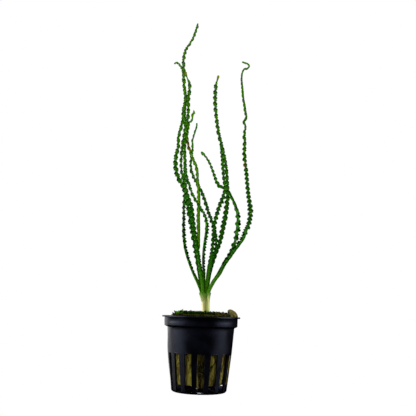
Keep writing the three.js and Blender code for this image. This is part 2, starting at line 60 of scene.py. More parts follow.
# Camera: the eye in mm, its pitch up and its roll in degrees, and the lens and the sensor in mm
EYE = np.array([2.3, -420.0, 54.0])
PITCH_DEG = 9.958
ROLL_DEG = 1.85
LENS_MM = 51.06
SENSOR_MM = 36.0

# Lamps: name, bearing from the front towards the right in degrees, height and distance of the lamp, and the
# height it aims at in mm, its width and height in mm, and its power in watts
LAMPS = [
    ("left softbox", -84, 330, 700, 110, 850, 800, 12.0),
    ("right softbox", 76, 330, 700, 110, 620, 800, 8.0),
    ("overhead softbox", 0, 900, 120, 130, 900, 700, 8.0),
    ("front fill", -8, 520, 1100, 170, 700, 500, 2.0),
    ("back light", -146, 250, 900, 120, 800, 900, 3.0),
]

# Backdrop, in mm
FLOOR_DISC_RADIUS = 2000
FLOOR_DISC_DEPTH = 0.6
DOME_RADIUS = 2600

# Pot, in mm
WALL = 1.0
RIM_RADIUS = 27.3
RIM_THICKNESS = 1.0
RIM_FLARE = 0.15
RIM_FLARE_HEIGHT = 0.25
BAND_RADIUS = 25.6
BAND_BOTTOM = 44.2
BAND_STEP = 0.9
BODY_TOP_RADIUS = 23.35
BODY_TOP = 43.0
BODY_MIDDLE_RADIUS = 22.0
BODY_MIDDLE = 26.6
FOOT_RADIUS = 19.1
FOOT_ROUNDING = 1.6
FLOOR = 0.8
MOULDED_EDGE = 0.12
SLOTS = 15
SLOT_TURN = np.radians(2.5)
SLOT_WIDTH = 5.1
SLOT_BOTTOM = 1.1
SLOT_TOP = 26.1
DRAIN_INNER = 8.0
DRAIN_OUTER = 17.4
DRAIN_REACH = np.radians(8.3)
FINS = 5
FIN_THICKNESS = 0.9
FIN_BOTTOM = 0.5
FIN_TOP = 3.5
FIN_INNER = 5.5

# The band's rounded lower edge: how far each row is inside the band's radius and above its bottom, in mm
BAND_EDGE = ((0.5, -0.35), (0.12, 0.0), (0.05, 2.3))

# Where the pot's sheet has its rows: the radii on the floor and the heights on the body, in mm
FLOOR_RINGS = (0, 2.5, 5.2, DRAIN_INNER, 10, 12.5, 15, DRAIN_OUTER)
BODY_ROWS = (*np.linspace(3.5, SLOT_TOP, 14), BODY_MIDDLE, *np.linspace(28.5, BODY_TOP, 9))

# The pot's left side is bowed out: the bearing, half angle and size of the bow in mm, and the heights at
# which it starts, is full, is last full and ends
BOW_BEARING = np.radians(-100)
BOW_HALF_ANGLE = np.radians(18)
BOW_SIZE = 0.75
BOW_HEIGHTS = (6, 22, 28, 40)

# Mineral wool, in mm. Its left side is pressed flat, and it swells into one slot at the right, each between
# the heights at which the change starts, is full, is last full and ends.
WOOL_BOTTOM = 5.6
WOOL_TOP = 50.3
WOOL_GAP = 0.4
WOOL_PRESSED_X = -18.3
WOOL_PRESSED_HEIGHTS = (11, 14, 28, 31)
BULGE_BEARING = np.radians(74.5)
BULGE_HALF_ANGLE = np.radians(5.5)
BULGE_DEPTH = 0.35
BULGE_HEIGHTS = (3.5, 6, 24.5, 26)

# Deep creases in the wool's side: bearing from the front towards the right in degrees, then height, half
# length and half width in mm, lean in degrees and depth in mm
CREASES = [
    (-15.5, 21.0, 5.5, 0.8, 10, 1.1),
    (-24.0, 23.5, 3.5, 0.6, -22, 0.8),
    (-44.0, 19.0, 3.2, 0.5, 72, 0.5),
    (-38.0, 12.0, 4.0, 0.5, -12, 0.6),
    (8.0, 17.0, 8.0, 1.2, 2, 0.8),
    (26.0, 17.5, 5.0, 0.6, 34, 1.1),
    (31.5, 23.0, 3.0, 0.7, -12, 0.9),
    (57.5, 22.5, 3.0, 0.8, 0, 0.7),
    (140.0, 17.0, 7.0, 0.8, -15, 1.0),
    (205.0, 15.0, 8.0, 0.9, 8, 1.1),
    (260.0, 19.0, 5.0, 0.8, 25, 0.9),
]

# The wool's foot hangs lower at the front: the middle, reach and depth of the sag, and the height it ends at
SAG_CENTRE = np.array([1.6, -14.5])
SAG_REACH = np.array([3.4, 6.0])
SAG_DEPTH = 2.6
SAG_TOP = 9.0

# Loose fibres, in mm: the height that they start below, and the least and most of their length up the side
# and of their radius
FIBRES_TOP = 29
FIBRE_LENGTHS = (2.0, 5.0)
FIBRE_RADII = (0.04, 0.085)

# The torn flap of wool at the right, in mm: its middle, its half sizes, and its lean to the left at the top
FLAP_CENTRE = np.array([21.9, -3.0, 50.72])
FLAP_HALF = np.array([3.7, 8.5, 5.25])
FLAP_LEAN = 2.2

# Moss, in mm. The ground lies under the cushion's own top, and the sprigs are rooted below it. The shoulder
# is where the cushion's edge starts to fall, as a share of its radius. Sprigs near one place at the front
# left grow taller, and the spread is the square of how far that reaches. Lengths are given from least to
# most. A leaflet's half width and half thickness are shares of its length, and each leaflet is set a turn in
# radians further round its sprig than the last.
MOSS_BOTTOM = 50.5
MOSS_CROWN = 54.2
MOSS_TALLEST = 56.6
MOSS_RADIUS = 19.9
MOSS_RIGHT = 18.1
MOSS_SHOULDER = 0.86
MOSS_EDGE_FALL = 3.0
MOSS_COVER = 1.3
SPRIG_ROOT = 1.9
NECK_CLEARANCE = 2.6
TALL_SPRIGS = np.array([-13.5, -11.0])
TALL_SPRIGS_SPREAD = 14.0
SPRIG_LENGTHS = (0.7, 1.7)
LEAFLET_LENGTHS = (0.5, 0.95)
LEAFLET_HALF_WIDTH = 0.24
LEAFLET_HALF_THICKNESS = 0.1
LEAFLET_TURN = 2.4

# Larger single leaflets at the moss's front edge: foot and tip in mm, age (1 new and bright) and dryness
BLADES = np.array([
    (-18.2, -9, 50.9, -19.9, -9.6, 53.2, 0.0, 0.3),
    (-17.4, -9.6, 52.2, -18.8, -10, 54.5, 0.1, 0.2),
    (-15.9, -10, 51.6, -15.0, -11, 54.6, 0.95, 0.0),
    (-15.4, -10, 52.3, -17.4, -11, 53.4, 0.97, 0.0),
    (-15.0, -10, 52.4, -12.8, -11, 53.7, 0.93, 0.0),
    (-14.2, -9, 52.5, -12.4, -9.4, 55.5, 0.2, 0.9),
    (-16.8, -9, 51.5, -16.6, -10, 54.0, 0.9, 0.0),
    (-13.5, -10, 51.6, -11.8, -11, 53.9, 0.8, 0.1),
    (-6.4, -12, 51.8, -6.0, -13, 54.4, 0.5, 0.1),
    (-3.2, -12, 51.8, -4.0, -13, 54.6, 0.6, 0.1),
    (10.4, -11, 51.8, 11.4, -12, 54.3, 0.3, 0.9),
    (14.6, -10, 51.6, 13.8, -11, 54.0, 0.3, 0.8),
])

# Neck, in mm. Its upper edge dips above one height, and above another it is flattened from front to back, in
# the end by the flatness.
NECK_BOTTOM = 40.0
NECK_TOP = 67.3
NECK_STRAIGHT_TO = 54.4
NECK_RADIUS = 2.68
NECK_FOOT_X = 3.0
NECK_HEAD_X = 2.05
NECK_DIP = 1.3
NECK_DIP_FROM = 58
NECK_FLAT_FROM = 59
NECK_FLATNESS = 0.16
NECK_CUP = 3.0

# Leaves, in mm: the height at which the routes start, the height above which a leaf is thin and the one below
# which it is thick, the distance between two sections, the points round each, the half thickness of the skin
# beside the midrib, and how far an edge's teeth lean back, as a share of the half width
LEAF_BASE = 68.0
THIN_FROM = 95
THICK_TO = 66
SECTION_STEP = 0.26
SECTION_POINTS = 26
LEAF_SKIN = 0.13
TOOTH_LEAN = 0.35

# How each leaf starts inside the neck: height, share of the leaf's own distance from the neck's middle, and
# half width, in mm
LEAF_FEET = ((58.5, 0.45, 1.0), (61.5, 0.6, 1.2), (65.0, 0.8, 1.15))

# Each leaf: the route from base to tip, and the habit along it. A route point is (across, up, depth, half
# width) in mm: across and up lie on the upright plane through the pot's axis as the eye sees them, and depth
# is how far behind that plane the leaf passes. A habit key is (height, turn, fold, swing, wave): the turn of
# the upper side towards the right, the fold of the two halves, the swing of the crisped edge, all in degrees,
# and the length of one wave in mm.
LEAVES = {
    "leaf_right_tall": dict(
        route=[
            (4.4, 68.3, -2.5, 0.9), (7.5, 74.8, -3, 1.2), (11.6, 80.5, -3.7, 1.5),
            (15.2, 87.7, -4.5, 1.6), (19.1, 93.5, -5.3, 1.7), (22.7, 99, -6, 1.8),
            (27.8, 106.4, -7.2, 1.8), (29.5, 111.1, -8, 1.9), (31.4, 115.5, -8.7, 1.9),
            (32.5, 119.6, -9.5, 1.9), (33, 125.1, -10.3, 1.95), (32.6, 130.2, -11, 1.9),
            (31.5, 136.8, -12, 1.75), (30.4, 145.7, -13, 1.6), (29.5, 154.6, -14, 1.6),
            (28.3, 162.8, -15, 1.55), (27.7, 169.6, -16, 1.5), (27.8, 177.3, -16.8, 1.4),
            (27.4, 184.1, -17.5, 1.2), (28.1, 189.5, -18, 0.85), (26.9, 193.4, -18.4, 1),
            (28.5, 196.8, -18.8, 0.95), (27.6, 201.9, -19.2, 1), (27, 206.2, -19.6, 0.95),
            (25.9, 212, -20, 0.9), (25.2, 219.1, -20.6, 0.85), (24.4, 227, -21.2, 0.75),
            (25, 232.6, -21.6, 0.65), (26.5, 234.9, -21.8, 0.75), (28.5, 235.4, -22, 0.75),
            (29.9, 237.4, -22, 0.65), (28.5, 239.2, -21.8, 0.65), (24.3, 240.6, -21.3, 0.6),
        ],
        habit=[
            (68, -60, 45, 0, 5), (80, -72, 44, 8, 5), (90, -72, 44, 34, 5), (104, -64, 40, 56, 4),
            (112, -35, 34, 56, 3.8), (119, -5, 32, 58, 3.1), (140, 0, 32, 58, 3.1), (160, 5, 32, 58, 3.4),
            (172, 10, 32, 56, 4), (184, 10, 30, 54, 4), (190, 10, 16, 34, 3.4), (212, 5, 14, 30, 3.2),
            (232, 3, 12, 26, 3.2), (240, 0, 10, 10, 3.4),
        ],
    ),
    "leaf_right_bent": dict(
        route=[
            (5.3, 68.4, 1.4, 0.9), (8.1, 74.8, 1.6, 1.2), (11.3, 80.5, 1.9, 1.4), (15, 87.4, 2.3, 1.5),
            (18.6, 93.9, 2.8, 1.7), (21, 99.3, 3.2, 1.8), (22.5, 104, 3.7, 1.9), (23.6, 110.2, 4.2, 2),
            (24.2, 115.7, 4.8, 2), (24.2, 121.9, 5.3, 1.9), (23, 127.2, 5.8, 1.5),
            (20.8, 132.8, 6.3, 1.2), (18.9, 136.4, 6.6, 1.2), (16.7, 140.2, 6.9, 1.3),
            (14.2, 142.8, 7.2, 1.4), (11.2, 143.5, 7.8, 1.5), (8.9, 145.7, 8.6, 1.5),
            (7.4, 148.6, 9.6, 1.4), (5.9, 152.7, 11, 1.25), (4.2, 157.1, 12.4, 1.1),
            (2.2, 161.6, 13.8, 1), (-0.7, 166, 15.4, 0.9), (-2.7, 168, 16.4, 1.35),
            (-4.1, 169.6, 17, 0.9),
        ],
        habit=[
            (68, -50, 50, 0, 5), (84, -58, 50, 8, 5), (93, -45, 40, 42, 4.8), (99, 4, 32, 55, 4.2),
            (104, 40, 30, 70, 5.4), (123, 42, 30, 72, 5.6), (128, 20, 40, 12, 5), (142, 10, 34, 12, 4.6),
            (146, -10, 30, 50, 3.5), (165, -15, 28, 52, 3.4), (169, 0, 12, 10, 4),
        ],
    ),
    "leaf_middle_tall": dict(
        route=[
            (3.9, 68.3, 0.1, 1.2), (4, 74.7, 0.2, 1.45), (4.9, 81, 0.4, 1.5), (6.5, 87.4, 0.5, 1.5),
            (8.8, 94.6, -0.4, 1.5), (11, 101.4, -1.4, 1.7), (12.5, 107.9, -2.2, 1.9),
            (13.8, 115.3, -2.7, 2), (15, 122.3, -3.1, 2), (15.8, 129.7, -3.4, 1.95),
            (16.2, 136.3, -3.6, 1.8), (16.1, 141.5, -3.8, 1.6), (15.6, 147.8, -4, 1.5),
            (15, 154.9, -4.3, 1.45), (14.1, 160.9, -4.7, 1.45), (12.7, 167.6, -5.2, 1.45),
            (11.2, 173.6, -5.6, 1.45), (9.7, 178.9, -6, 1.5), (8.3, 184.3, -6.4, 1.5),
            (6.8, 193.1, -7, 1.5), (5.8, 200.4, -7.5, 1.5), (5.1, 208.2, -8, 1.5), (5, 216, -8.6, 1.5),
            (5.4, 222.4, -9, 1.3), (6.1, 225, -9.2, 0.7), (6.6, 227.2, -9.4, 0.95),
            (7, 229.4, -9.5, 0.85),
        ],
        habit=[
            (68, 0, 30, 0, 4.3), (84, 5, 28, 5, 4.2), (92, 8, 30, 30, 3.6), (100, 8, 28, 36, 3.5),
            (130, 8, 26, 40, 3.6), (152, 8, 24, 46, 3.9), (190, 8, 20, 66, 4.4), (224, 8, 20, 66, 4.3),
            (226, 8, 10, 8, 4.3),
        ],
    ),
    "leaf_middle_short": dict(
        route=[
            (2.8, 68.3, -1.2, 0.9), (3.2, 74.6, -2, 1.1), (3.9, 81, -3, 1.3), (4.9, 87.4, -3.4, 1.5),
            (6, 95.3, -2.2, 1.6), (6.7, 103.2, -0.6, 1.6), (7, 110.4, 0.3, 1.6), (7.6, 117.7, 0.9, 1.7),
            (9.2, 124.7, 1.3, 1.75), (10.6, 129.5, 1.5, 1.7), (12.3, 134, 1.5, 1.65),
            (13.6, 138.4, 1.5, 1.6), (14.2, 142.5, 1.6, 1.5), (13.6, 147.3, 1.7, 1.4),
            (12.8, 152.6, 1.9, 1.4), (12.3, 158.5, 2.3, 1.4), (11.6, 165.3, 3, 1.4),
            (10.7, 171, 3.8, 1.2), (9.9, 175, 4.5, 0.6),
        ],
        habit=[
            (68, -5, 36, 0, 5), (84, -5, 30, 0, 4), (97, -8, 34, 50, 3.2), (120, -10, 32, 58, 3.4),
            (172, -10, 32, 58, 3.4), (175, 0, 10, 10, 4),
        ],
    ),
    "leaf_inner_curved": dict(
        route=[
            (2.7, 68.3, 1.4, 0.9), (3, 74.6, 2.2, 1), (4.2, 82.4, 3.2, 1.1), (6.1, 90.3, 4.2, 1.2),
            (8.1, 96.8, 4.8, 1.3), (8.9, 101.8, 5.2, 1.35), (8.5, 107.9, 5.6, 1.4),
            (6.5, 114.7, 5.8, 1.5), (4.6, 120.1, 5.8, 1.5), (2.8, 124.2, 5.7, 1.5),
            (1.2, 129.2, 5.5, 1.5), (-0.3, 133.5, 5.2, 1.45), (-1.9, 137.6, 4.9, 1.5),
            (-3.8, 141.2, 4.7, 1.5), (-6.1, 145.6, 4.6, 1.4), (-8.3, 149.1, 4.6, 1.3),
            (-9.9, 152.6, 4.8, 1.3), (-11.1, 156.6, 5, 1.2), (-11.4, 162.3, 5.4, 1.1),
            (-10.8, 167.6, 5.8, 1.1), (-10.5, 172.5, 6.2, 1), (-10.8, 177.5, 6.6, 0.85),
            (-10, 181.3, 7, 0.75), (-9, 185.2, 7.4, 0.75), (-8.1, 188.3, 7.7, 0.7), (-8, 191.6, 8, 0.6),
        ],
        habit=[
            (68, 10, 36, 0, 4.4), (86, 12, 30, 0, 4.4), (98, 15, 32, 50, 3.4), (150, 15, 30, 58, 3.8),
            (172, 30, 30, 48, 4.2), (181, 30, 20, 38, 3.8), (191, 0, 14, 28, 3.4),
        ],
    ),
    "leaf_inner_tall": dict(
        route=[
            (1.3, 68.2, 0.1, 0.9), (1.2, 74.6, -0.4, 0.95), (0.9, 81.6, -1.2, 1.1),
            (0.3, 88.7, -2.2, 1.2), (0.4, 96.5, -3.4, 1.3), (1.1, 103.7, -4.6, 1.4),
            (1.9, 110.2, -5.6, 1.5), (1.9, 115.3, -6.4, 1.5), (0.9, 120.4, -7.2, 1.4),
            (-1, 124.3, -7.9, 1.3), (-3.1, 127.6, -8.3, 1.2), (-5, 130.4, -8.6, 1.1),
            (-6.9, 133.3, -8.8, 1.2), (-8.7, 136.2, -9, 1.2), (-10.1, 139.1, -9.2, 1.2),
            (-11.1, 142.1, -9.3, 1.2), (-12.4, 145.4, -9.4, 1.3), (-13.7, 149.1, -9.4, 1.3),
            (-14.6, 153.1, -9.5, 1.3), (-15.3, 158.4, -9.5, 1.3), (-15.8, 164.4, -9.6, 1.3),
            (-16.3, 170.4, -9.7, 1.3), (-16.2, 177.3, -9.9, 1.35), (-15.9, 183.4, -10.1, 1.4),
            (-15.4, 189.6, -10.4, 1.4), (-14.8, 195.8, -10.8, 1.4), (-14.7, 202.1, -11.2, 1.4),
            (-15, 208.3, -11.8, 1.4), (-14.7, 213.8, -12.3, 1.5), (-14.3, 219.3, -12.8, 1.4),
            (-15.1, 223.3, -13.2, 1.2), (-16.3, 226.1, -13.6, 0.65), (-17.3, 228.6, -13.9, 0.8),
            (-17.8, 231.5, -14.2, 0.75),
        ],
        habit=[
            (68, 40, 50, 0, 4), (76, 48, 50, 5, 4.4), (82, 50, 50, 46, 4.8), (108, 46, 42, 66, 4.2),
            (118, 42, 36, 70, 4.2), (125, 20, 26, 60, 4.4), (219, -8, 22, 64, 4.6), (224, 0, 18, 26, 3.6),
            (230, 0, 10, 8, 4),
        ],
    ),
    "leaf_bright": dict(
        route=[
            (1.4, 68.2, 2.7, 0.9), (-0.5, 74.5, 3, 0.9), (-2.4, 80.8, 3.3, 1), (-3.8, 87.1, 3.5, 1.05),
            (-4, 92.8, 3.5, 1.1), (-3.6, 98.5, 3.3, 1.15), (-3.8, 105.7, 2.6, 1.3),
            (-4.1, 113.7, 1.8, 1.4), (-4.5, 121.6, 1, 1.4), (-4.4, 129.7, 0.4, 1.35),
            (-4.7, 136.3, 0.1, 1.3), (-5.2, 142.3, 0, 1.25), (-6, 148.9, 0, 1.2), (-6.6, 154.9, 0, 1.3),
            (-7.6, 159, 0, 1.3), (-9.2, 162.1, 0, 1.3), (-10.5, 165.3, 0.1, 1.3),
            (-11.6, 168.6, 0.2, 1.3), (-13.1, 171.7, 0.4, 1.3), (-14, 175.5, 0.7, 1.2),
            (-14.7, 179.7, 1, 1.1), (-14.7, 183.9, 1.3, 1.1), (-14.2, 187.7, 1.6, 1.1),
            (-13.7, 191.1, 1.9, 0.9), (-12.2, 192.9, 2.2, 0.9), (-11.4, 194.9, 2.5, 0.85),
            (-11.5, 197.3, 2.8, 0.95), (-10.5, 199.1, 3.1, 1.15), (-10.7, 201.4, 3.4, 0.5),
        ],
        habit=[
            (68, -20, 36, 0, 4.4), (78, -45, 45, 5, 5.6), (86, -50, 48, 50, 5.6), (94, -40, 40, 40, 5),
            (100, 10, 28, 14, 4.4), (108, 20, 26, 14, 4.4), (135, 25, 26, 18, 4.4),
            (150, 20, 28, 28, 4.2), (165, 15, 28, 40, 4.2), (185, 10, 26, 52, 4), (200, 0, 14, 30, 3.4),
        ],
    ),
    "leaf_front_left": dict(
        route=[
            (0.4, 68.2, -2.5, 0.9), (-0.3, 74.5, -2.8, 1.2), (-1.3, 80.8, -3.2, 1.5),
            (-2.6, 87.1, -3.7, 1.8), (-3.7, 93.5, -4.2, 1.8), (-4.9, 99.9, -4.6, 1.7),
            (-6.3, 106.4, -4.9, 1.7), (-7.4, 112.8, -5.1, 1.75), (-8.4, 119.3, -5.2, 1.75),
            (-9.3, 125.2, -5.3, 1.7), (-10.4, 130.3, -5.4, 1.7), (-12.4, 135, -5.4, 1.65),
            (-13.8, 139.8, -5.4, 1.5), (-14.8, 144.5, -5.3, 1.3), (-15.5, 149.4, -5.2, 1.2),
            (-15.7, 154.6, -5.1, 1.1), (-15.8, 160.6, -4.9, 1), (-16.1, 166.7, -4.8, 0.95),
            (-16.2, 172.7, -4.7, 0.9), (-16.2, 178.8, -4.6, 0.8), (-15.9, 185, -4.5, 0.4),
        ],
        habit=[
            (68, 0, 36, 0, 4.2), (78, 30, 40, 3, 4.2), (86, 30, 36, 36, 3.6), (98, 18, 30, 40, 3.4),
            (110, 8, 26, 42, 3.3), (150, 0, 22, 56, 3.8), (175, 0, 12, 40, 3.6), (185, 0, 10, 0, 4.2),
        ],
    ),
    "leaf_tallest": dict(
        route=[
            (-0.3, 68.2, 1.4, 0.9), (-1.5, 74.5, 0.6, 1), (-2.7, 80.8, -0.2, 1.1),
            (-3.9, 87.1, -0.5, 1.2), (-5.2, 93.5, -0.8, 1.4), (-6.4, 99.9, -1, 1.5),
            (-7.6, 106.3, -1.1, 1.6), (-9, 112.8, -1.2, 1.7), (-10.2, 118.6, -1.2, 1.75),
            (-11.4, 124.4, -1.2, 1.7), (-12.7, 130.2, -1.2, 1.65), (-14, 135.3, -1.2, 1.6),
            (-15.3, 140.1, -1.2, 1.6), (-17.2, 144.5, -1.2, 1.7), (-19.5, 148.3, -1.2, 1.8),
            (-21.4, 152.9, -1.3, 1.85), (-22.4, 158.1, -1.4, 1.85), (-22.6, 163.4, -1.4, 1.75),
            (-21.9, 168.4, -1.5, 1.6), (-21, 173.3, -1.6, 1.4), (-21.2, 178.7, -1.7, 1.3),
            (-20.4, 184.1, -1.8, 1.3), (-19.1, 189.5, -1.9, 1.4), (-18.3, 194.9, -2, 1.4),
            (-18.3, 200.4, -2.1, 1.4), (-17.6, 205.9, -2.3, 1.3), (-17.3, 211.3, -2.5, 1.3),
            (-18.1, 216.8, -2.8, 1.3), (-18.5, 222.3, -3.1, 1.25), (-18.9, 227.9, -3.5, 1.25),
            (-19.3, 233.4, -4, 1.3), (-19.8, 239.4, -4.6, 1.35), (-19.3, 245.1, -5.2, 1.35),
            (-17.9, 249.9, -5.8, 1.2), (-16, 252.9, -6.2, 1.05), (-14.3, 256.2, -6.6, 1),
            (-12.8, 259.5, -7, 1), (-11.7, 263.2, -7.4, 1.05), (-10.8, 266.5, -7.8, 0.95),
            (-10.2, 268.8, -8, 1.1), (-10, 271, -8.2, 0.65),
        ],
        habit=[
            (68, 10, 36, 0, 4.4), (80, 25, 36, 0, 4.4), (92, 30, 34, 44, 4.4), (104, 20, 28, 56, 4.4),
            (130, 0, 22, 64, 4.5), (172, -6, 20, 66, 4.4), (182, -10, 22, 34, 4.6),
            (200, -10, 22, 62, 4.6), (244, -12, 22, 64, 4.4), (250, -10, 22, 50, 4),
            (255, -10, 18, 46, 3.6), (270, -10, 16, 42, 3.4),
        ],
    ),
    "leaf_far_left": dict(
        route=[
            (-1, 68.2, -1.2, 0.9), (-3.4, 74.4, -1.2, 1.1), (-6, 79.6, -1.1, 1.15),
            (-8.5, 85.2, -0.8, 1.2), (-10.9, 91.5, -0.3, 1.3), (-12.9, 98.2, 0.3, 1.4),
            (-14.1, 105.4, 0.9, 1.45), (-14.7, 112.6, 1.4, 1.45), (-14.9, 120.6, 1.9, 1.4),
            (-15.2, 128.6, 2.3, 1.3), (-15, 135.3, 2.6, 1.2), (-15.1, 140.5, 2.8, 1.2),
            (-16.1, 146.7, 3, 1.2), (-17.5, 152.3, 3.1, 1.2), (-18.4, 158.3, 3.2, 1.2),
            (-18.5, 164.3, 3.3, 1.25), (-18.3, 170.4, 3.4, 1.3), (-17.8, 176.5, 3.5, 1.3),
            (-17, 182.6, 3.7, 1.3), (-16.5, 188.8, 4, 1.25), (-16.9, 195, 4.3, 1.1),
            (-17.3, 200.8, 4.7, 1.2), (-16.7, 206.7, 5.1, 1.3), (-16.9, 212.5, 5.6, 1.3),
            (-18.4, 218.4, 6.2, 1.2), (-19.4, 224.7, 7, 1.1), (-19.8, 230.2, 8, 0.9),
            (-20.8, 233.9, 8.8, 0.95), (-22.1, 235.9, 9.4, 0.95), (-23.5, 237.6, 10, 0.9),
            (-25.1, 238.2, 10.6, 0.9), (-26.9, 237.3, 11.2, 0.7),
        ],
        habit=[
            (68, 40, 46, 0, 4.6), (76, 48, 50, 5, 5), (84, 46, 46, 56, 4), (118, 44, 36, 74, 4.2),
            (132, 42, 32, 74, 4.4), (141, 20, 28, 62, 4.6), (190, 10, 22, 64, 4.6), (228, 6, 22, 62, 4.4),
            (234, 6, 18, 46, 3.2), (239, 0, 16, 44, 2.8),
        ],
    ),
}

# Damage and drying on the leaves: leaf, height and half length in mm, side (-1 left, 1 right, 0 both), and
# kind
WORN = [
    ("leaf_bright", 173.8, 4.2, 0, "brown"),
    ("leaf_right_tall", 159.4, 1.5, -1, "brown"),
    ("leaf_right_tall", 162.0, 0.9, -1, "yellow"),
    ("leaf_middle_tall", 228.8, 2.4, 0, "yellow"),
    ("leaf_inner_tall", 231.8, 1.0, 0, "brown"),
    ("leaf_inner_tall", 229.6, 1.3, 0, "yellow"),
]


# Shared shape tools


def smooth(low, high, x):
    """The smooth step: 0 below low, 1 above high, and 3t^2 - 2t^3 between them."""
    t = np.clip((x - low) / (high - low), 0, 1)
    return t * t * (3 - 2 * t)


def plateau(x, low, full, last_full, high):
    """A smooth step up from low to full, a level stretch, and a smooth step down from last_full to high."""
    return smooth(low, full, x) * smooth(high, last_full, x)


def bell(x, half, power=2):
    """The bell curve: 1 in the middle, and exp(-(x / half)^power) away from it."""
    return np.exp(-(x / half) ** power)


def half_turn(angle):
    """An angle brought between minus and plus half a turn."""
    return (angle + np.pi) % (2 * np.pi) - np.pi


def turns(count):
    """Angles in even steps round a full turn."""
    return np.linspace(0, 2 * np.pi, count, endpoint=False)


def polar(turn, radius, z):
    """Points at an angle from +X, a distance from the axis and a height."""
    return np.stack([radius * np.cos(turn), radius * np.sin(turn), z + 0 * turn], -1)


def unit(vectors):
    """The vectors, each brought to a length of one."""
    return vectors / np.linalg.norm(vectors, axis=-1, keepdims=True)


def sway(x, pitch, seed):
    """Smooth noise along a line: the sum of six sines with seeded phases and periods near the pitch."""
    rng = np.random.default_rng(seed)
    period = pitch * rng.uniform(0.7, 1.7, 6)
    phase = rng.uniform(0, 2 * np.pi, 6)
    return np.sin(np.asarray(x)[..., None] * (2 * np.pi / period) + phase).sum(-1) / 2.4


def lumps(points, pitch, seed):
    """Smooth noise in space: the sum of 16 sine waves with seeded directions and periods near the pitch."""
    rng = np.random.default_rng(seed)
    way = unit(rng.normal(size=(16, 3))) * (2 * np.pi / (pitch * rng.uniform(0.7, 1.8, 16)))[:, None]
    phase = rng.uniform(0, 2 * np.pi, 16)
    return np.sin(points @ way.T + phase).sum(-1) / 4


def grid_faces(rows, columns):
    """The four-sided faces of a grid of points that is closed round its columns."""
    i, j = np.meshgrid(np.arange(rows - 1), np.arange(columns), indexing="ij")
    k = (j + 1) % columns
    corners = [i * columns + j, i * columns + k, (i + 1) * columns + k, (i + 1) * columns + j]
    return np.stack(corners, -1).reshape(-1, 4)


def add_mesh(name, points, faces, marks=None):
    """A mesh object from points in mm and four-sided faces. Points that share a place become one, faces that
    lose a corner that way become triangles, and marks are numbers kept for each point, by name."""
    places, first, which = np.unique(np.round(points, 5), axis=0, return_index=True, return_inverse=True)
    faces = which.reshape(-1)[faces]
    same = faces == np.roll(faces, -1, axis=1)
    whole = faces[~same.any(1)].tolist()
    for corner in range(4):
        cut = faces[same[:, corner] & (same.sum(1) == 1)]
        whole += np.delete(cut, corner, axis=1).tolist()
    mesh = bpy.data.meshes.new(name)
    mesh.from_pydata((places * MM).tolist(), [], whole)
    for mark, values in (marks or {}).items():
        layer = mesh.attributes.new(mark, "FLOAT", "POINT")
        layer.data.foreach_set("value", np.asarray(values, np.float32)[first])
    mesh.shade_smooth()
    mesh.update()
    thing = bpy.data.objects.new(name, mesh)
    bpy.context.scene.collection.objects.link(thing)
    return thing


def outwards(points, faces):
    """The faces, turned round if they enclose a negative volume, which is a sixth of the sum of the triple
    products of their corners."""
    a, b, c, d = (points[faces[:, k]] for k in range(4))
    volume = (np.cross(a, b) * c).sum() + (np.cross(a, c) * d).sum()
    return faces if volume > 0 else faces[:, ::-1]


def add_surface(name, grid, marks=None):
    """A closed mesh object from a grid of points in mm and of marks, with its faces turned outwards."""
    points = grid.reshape(-1, 3)
    faces = outwards(points, grid_faces(*grid.shape[:2]))
    return add_mesh(name, points, faces, {mark: values.reshape(-1) for mark, values in (marks or {}).items()})


def dress(piece, material, slot, *nodes):
    """Gives a piece its material and its body, and hides the CAD nodes that it stands for. The slot is not
    used.
    """
    piece.data.materials.append(material)
    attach(piece, "root")
    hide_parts(*nodes)
    return piece


# Materials


def linear(code):
    """A hex colour as linear light: up to 0.04045 the value over 12.92, above it
    ((value + 0.055) / 1.055)^2.4."""
    values = [int(code[k:k + 2], 16) / 255 for k in (1, 3, 5)]
    return tuple(v / 12.92 if v <= 0.04045 else ((v + 0.055) / 1.055) ** 2.4 for v in values) + (1.0,)


def add(tree, kind, links=(), **settings):
    """Adds a node. A setting named for an attribute of the node sets it, and links pairs a socket with its
    value or with the socket that feeds it."""
    node = tree.nodes.new(kind)
    for key, value in settings.items():
        setattr(node, key, value)
    for socket, value in links:
        if isinstance(value, bpy.types.NodeSocket):
            tree.links.new(value, node.inputs[socket])
        else:
            node.inputs[socket].default_value = value
    return node


def new_material(name, ior, specular, roughness=0.5):
    """A material with one Principled shader, and its tree and shader. The roughness counts where no pattern
    feeds it."""
    material = bpy.data.materials.new(name)
    material.use_nodes = True
    tree = material.node_tree
    shader = tree.nodes["Principled BSDF"]
    for socket, value in (("IOR", ior), ("Specular IOR Level", specular), ("Roughness", roughness)):
        shader.inputs[socket].default_value = value
    return material, tree, shader


def coats(tree, shade, rows):
    """A colour with others laid over it in turn. A row is a pattern, the two values between which it goes
    smoothly from bare to covered, the most that it covers, and the colour that it lays on."""
    for pattern, bare, covered, most, colour in rows:
        cover = add(tree, "ShaderNodeMapRange", [(0, pattern), (1, bare), (2, covered), (4, most)],
                    interpolation_type="SMOOTHSTEP")
        mixed = [(0, cover.outputs[0]), (6, shade), (7, colour)]
        shade = add(tree, "ShaderNodeMix", mixed, data_type="RGBA").outputs[2]
    return shade


def mottle(tree, place, pitch_mm, detail=3.0, stretch=(1, 1, 1)):
    """Noise in the object's own space, with spots about as wide as the pitch in millimetres."""
    spread = add(tree, "ShaderNodeMapping", [("Vector", place), ("Scale", stretch)])
    settings = [("Vector", spread.outputs[0]), ("Scale", 0.6 / (pitch_mm * MM)), ("Detail", detail)]
    return add(tree, "ShaderNodeTexNoise", settings).outputs[0]


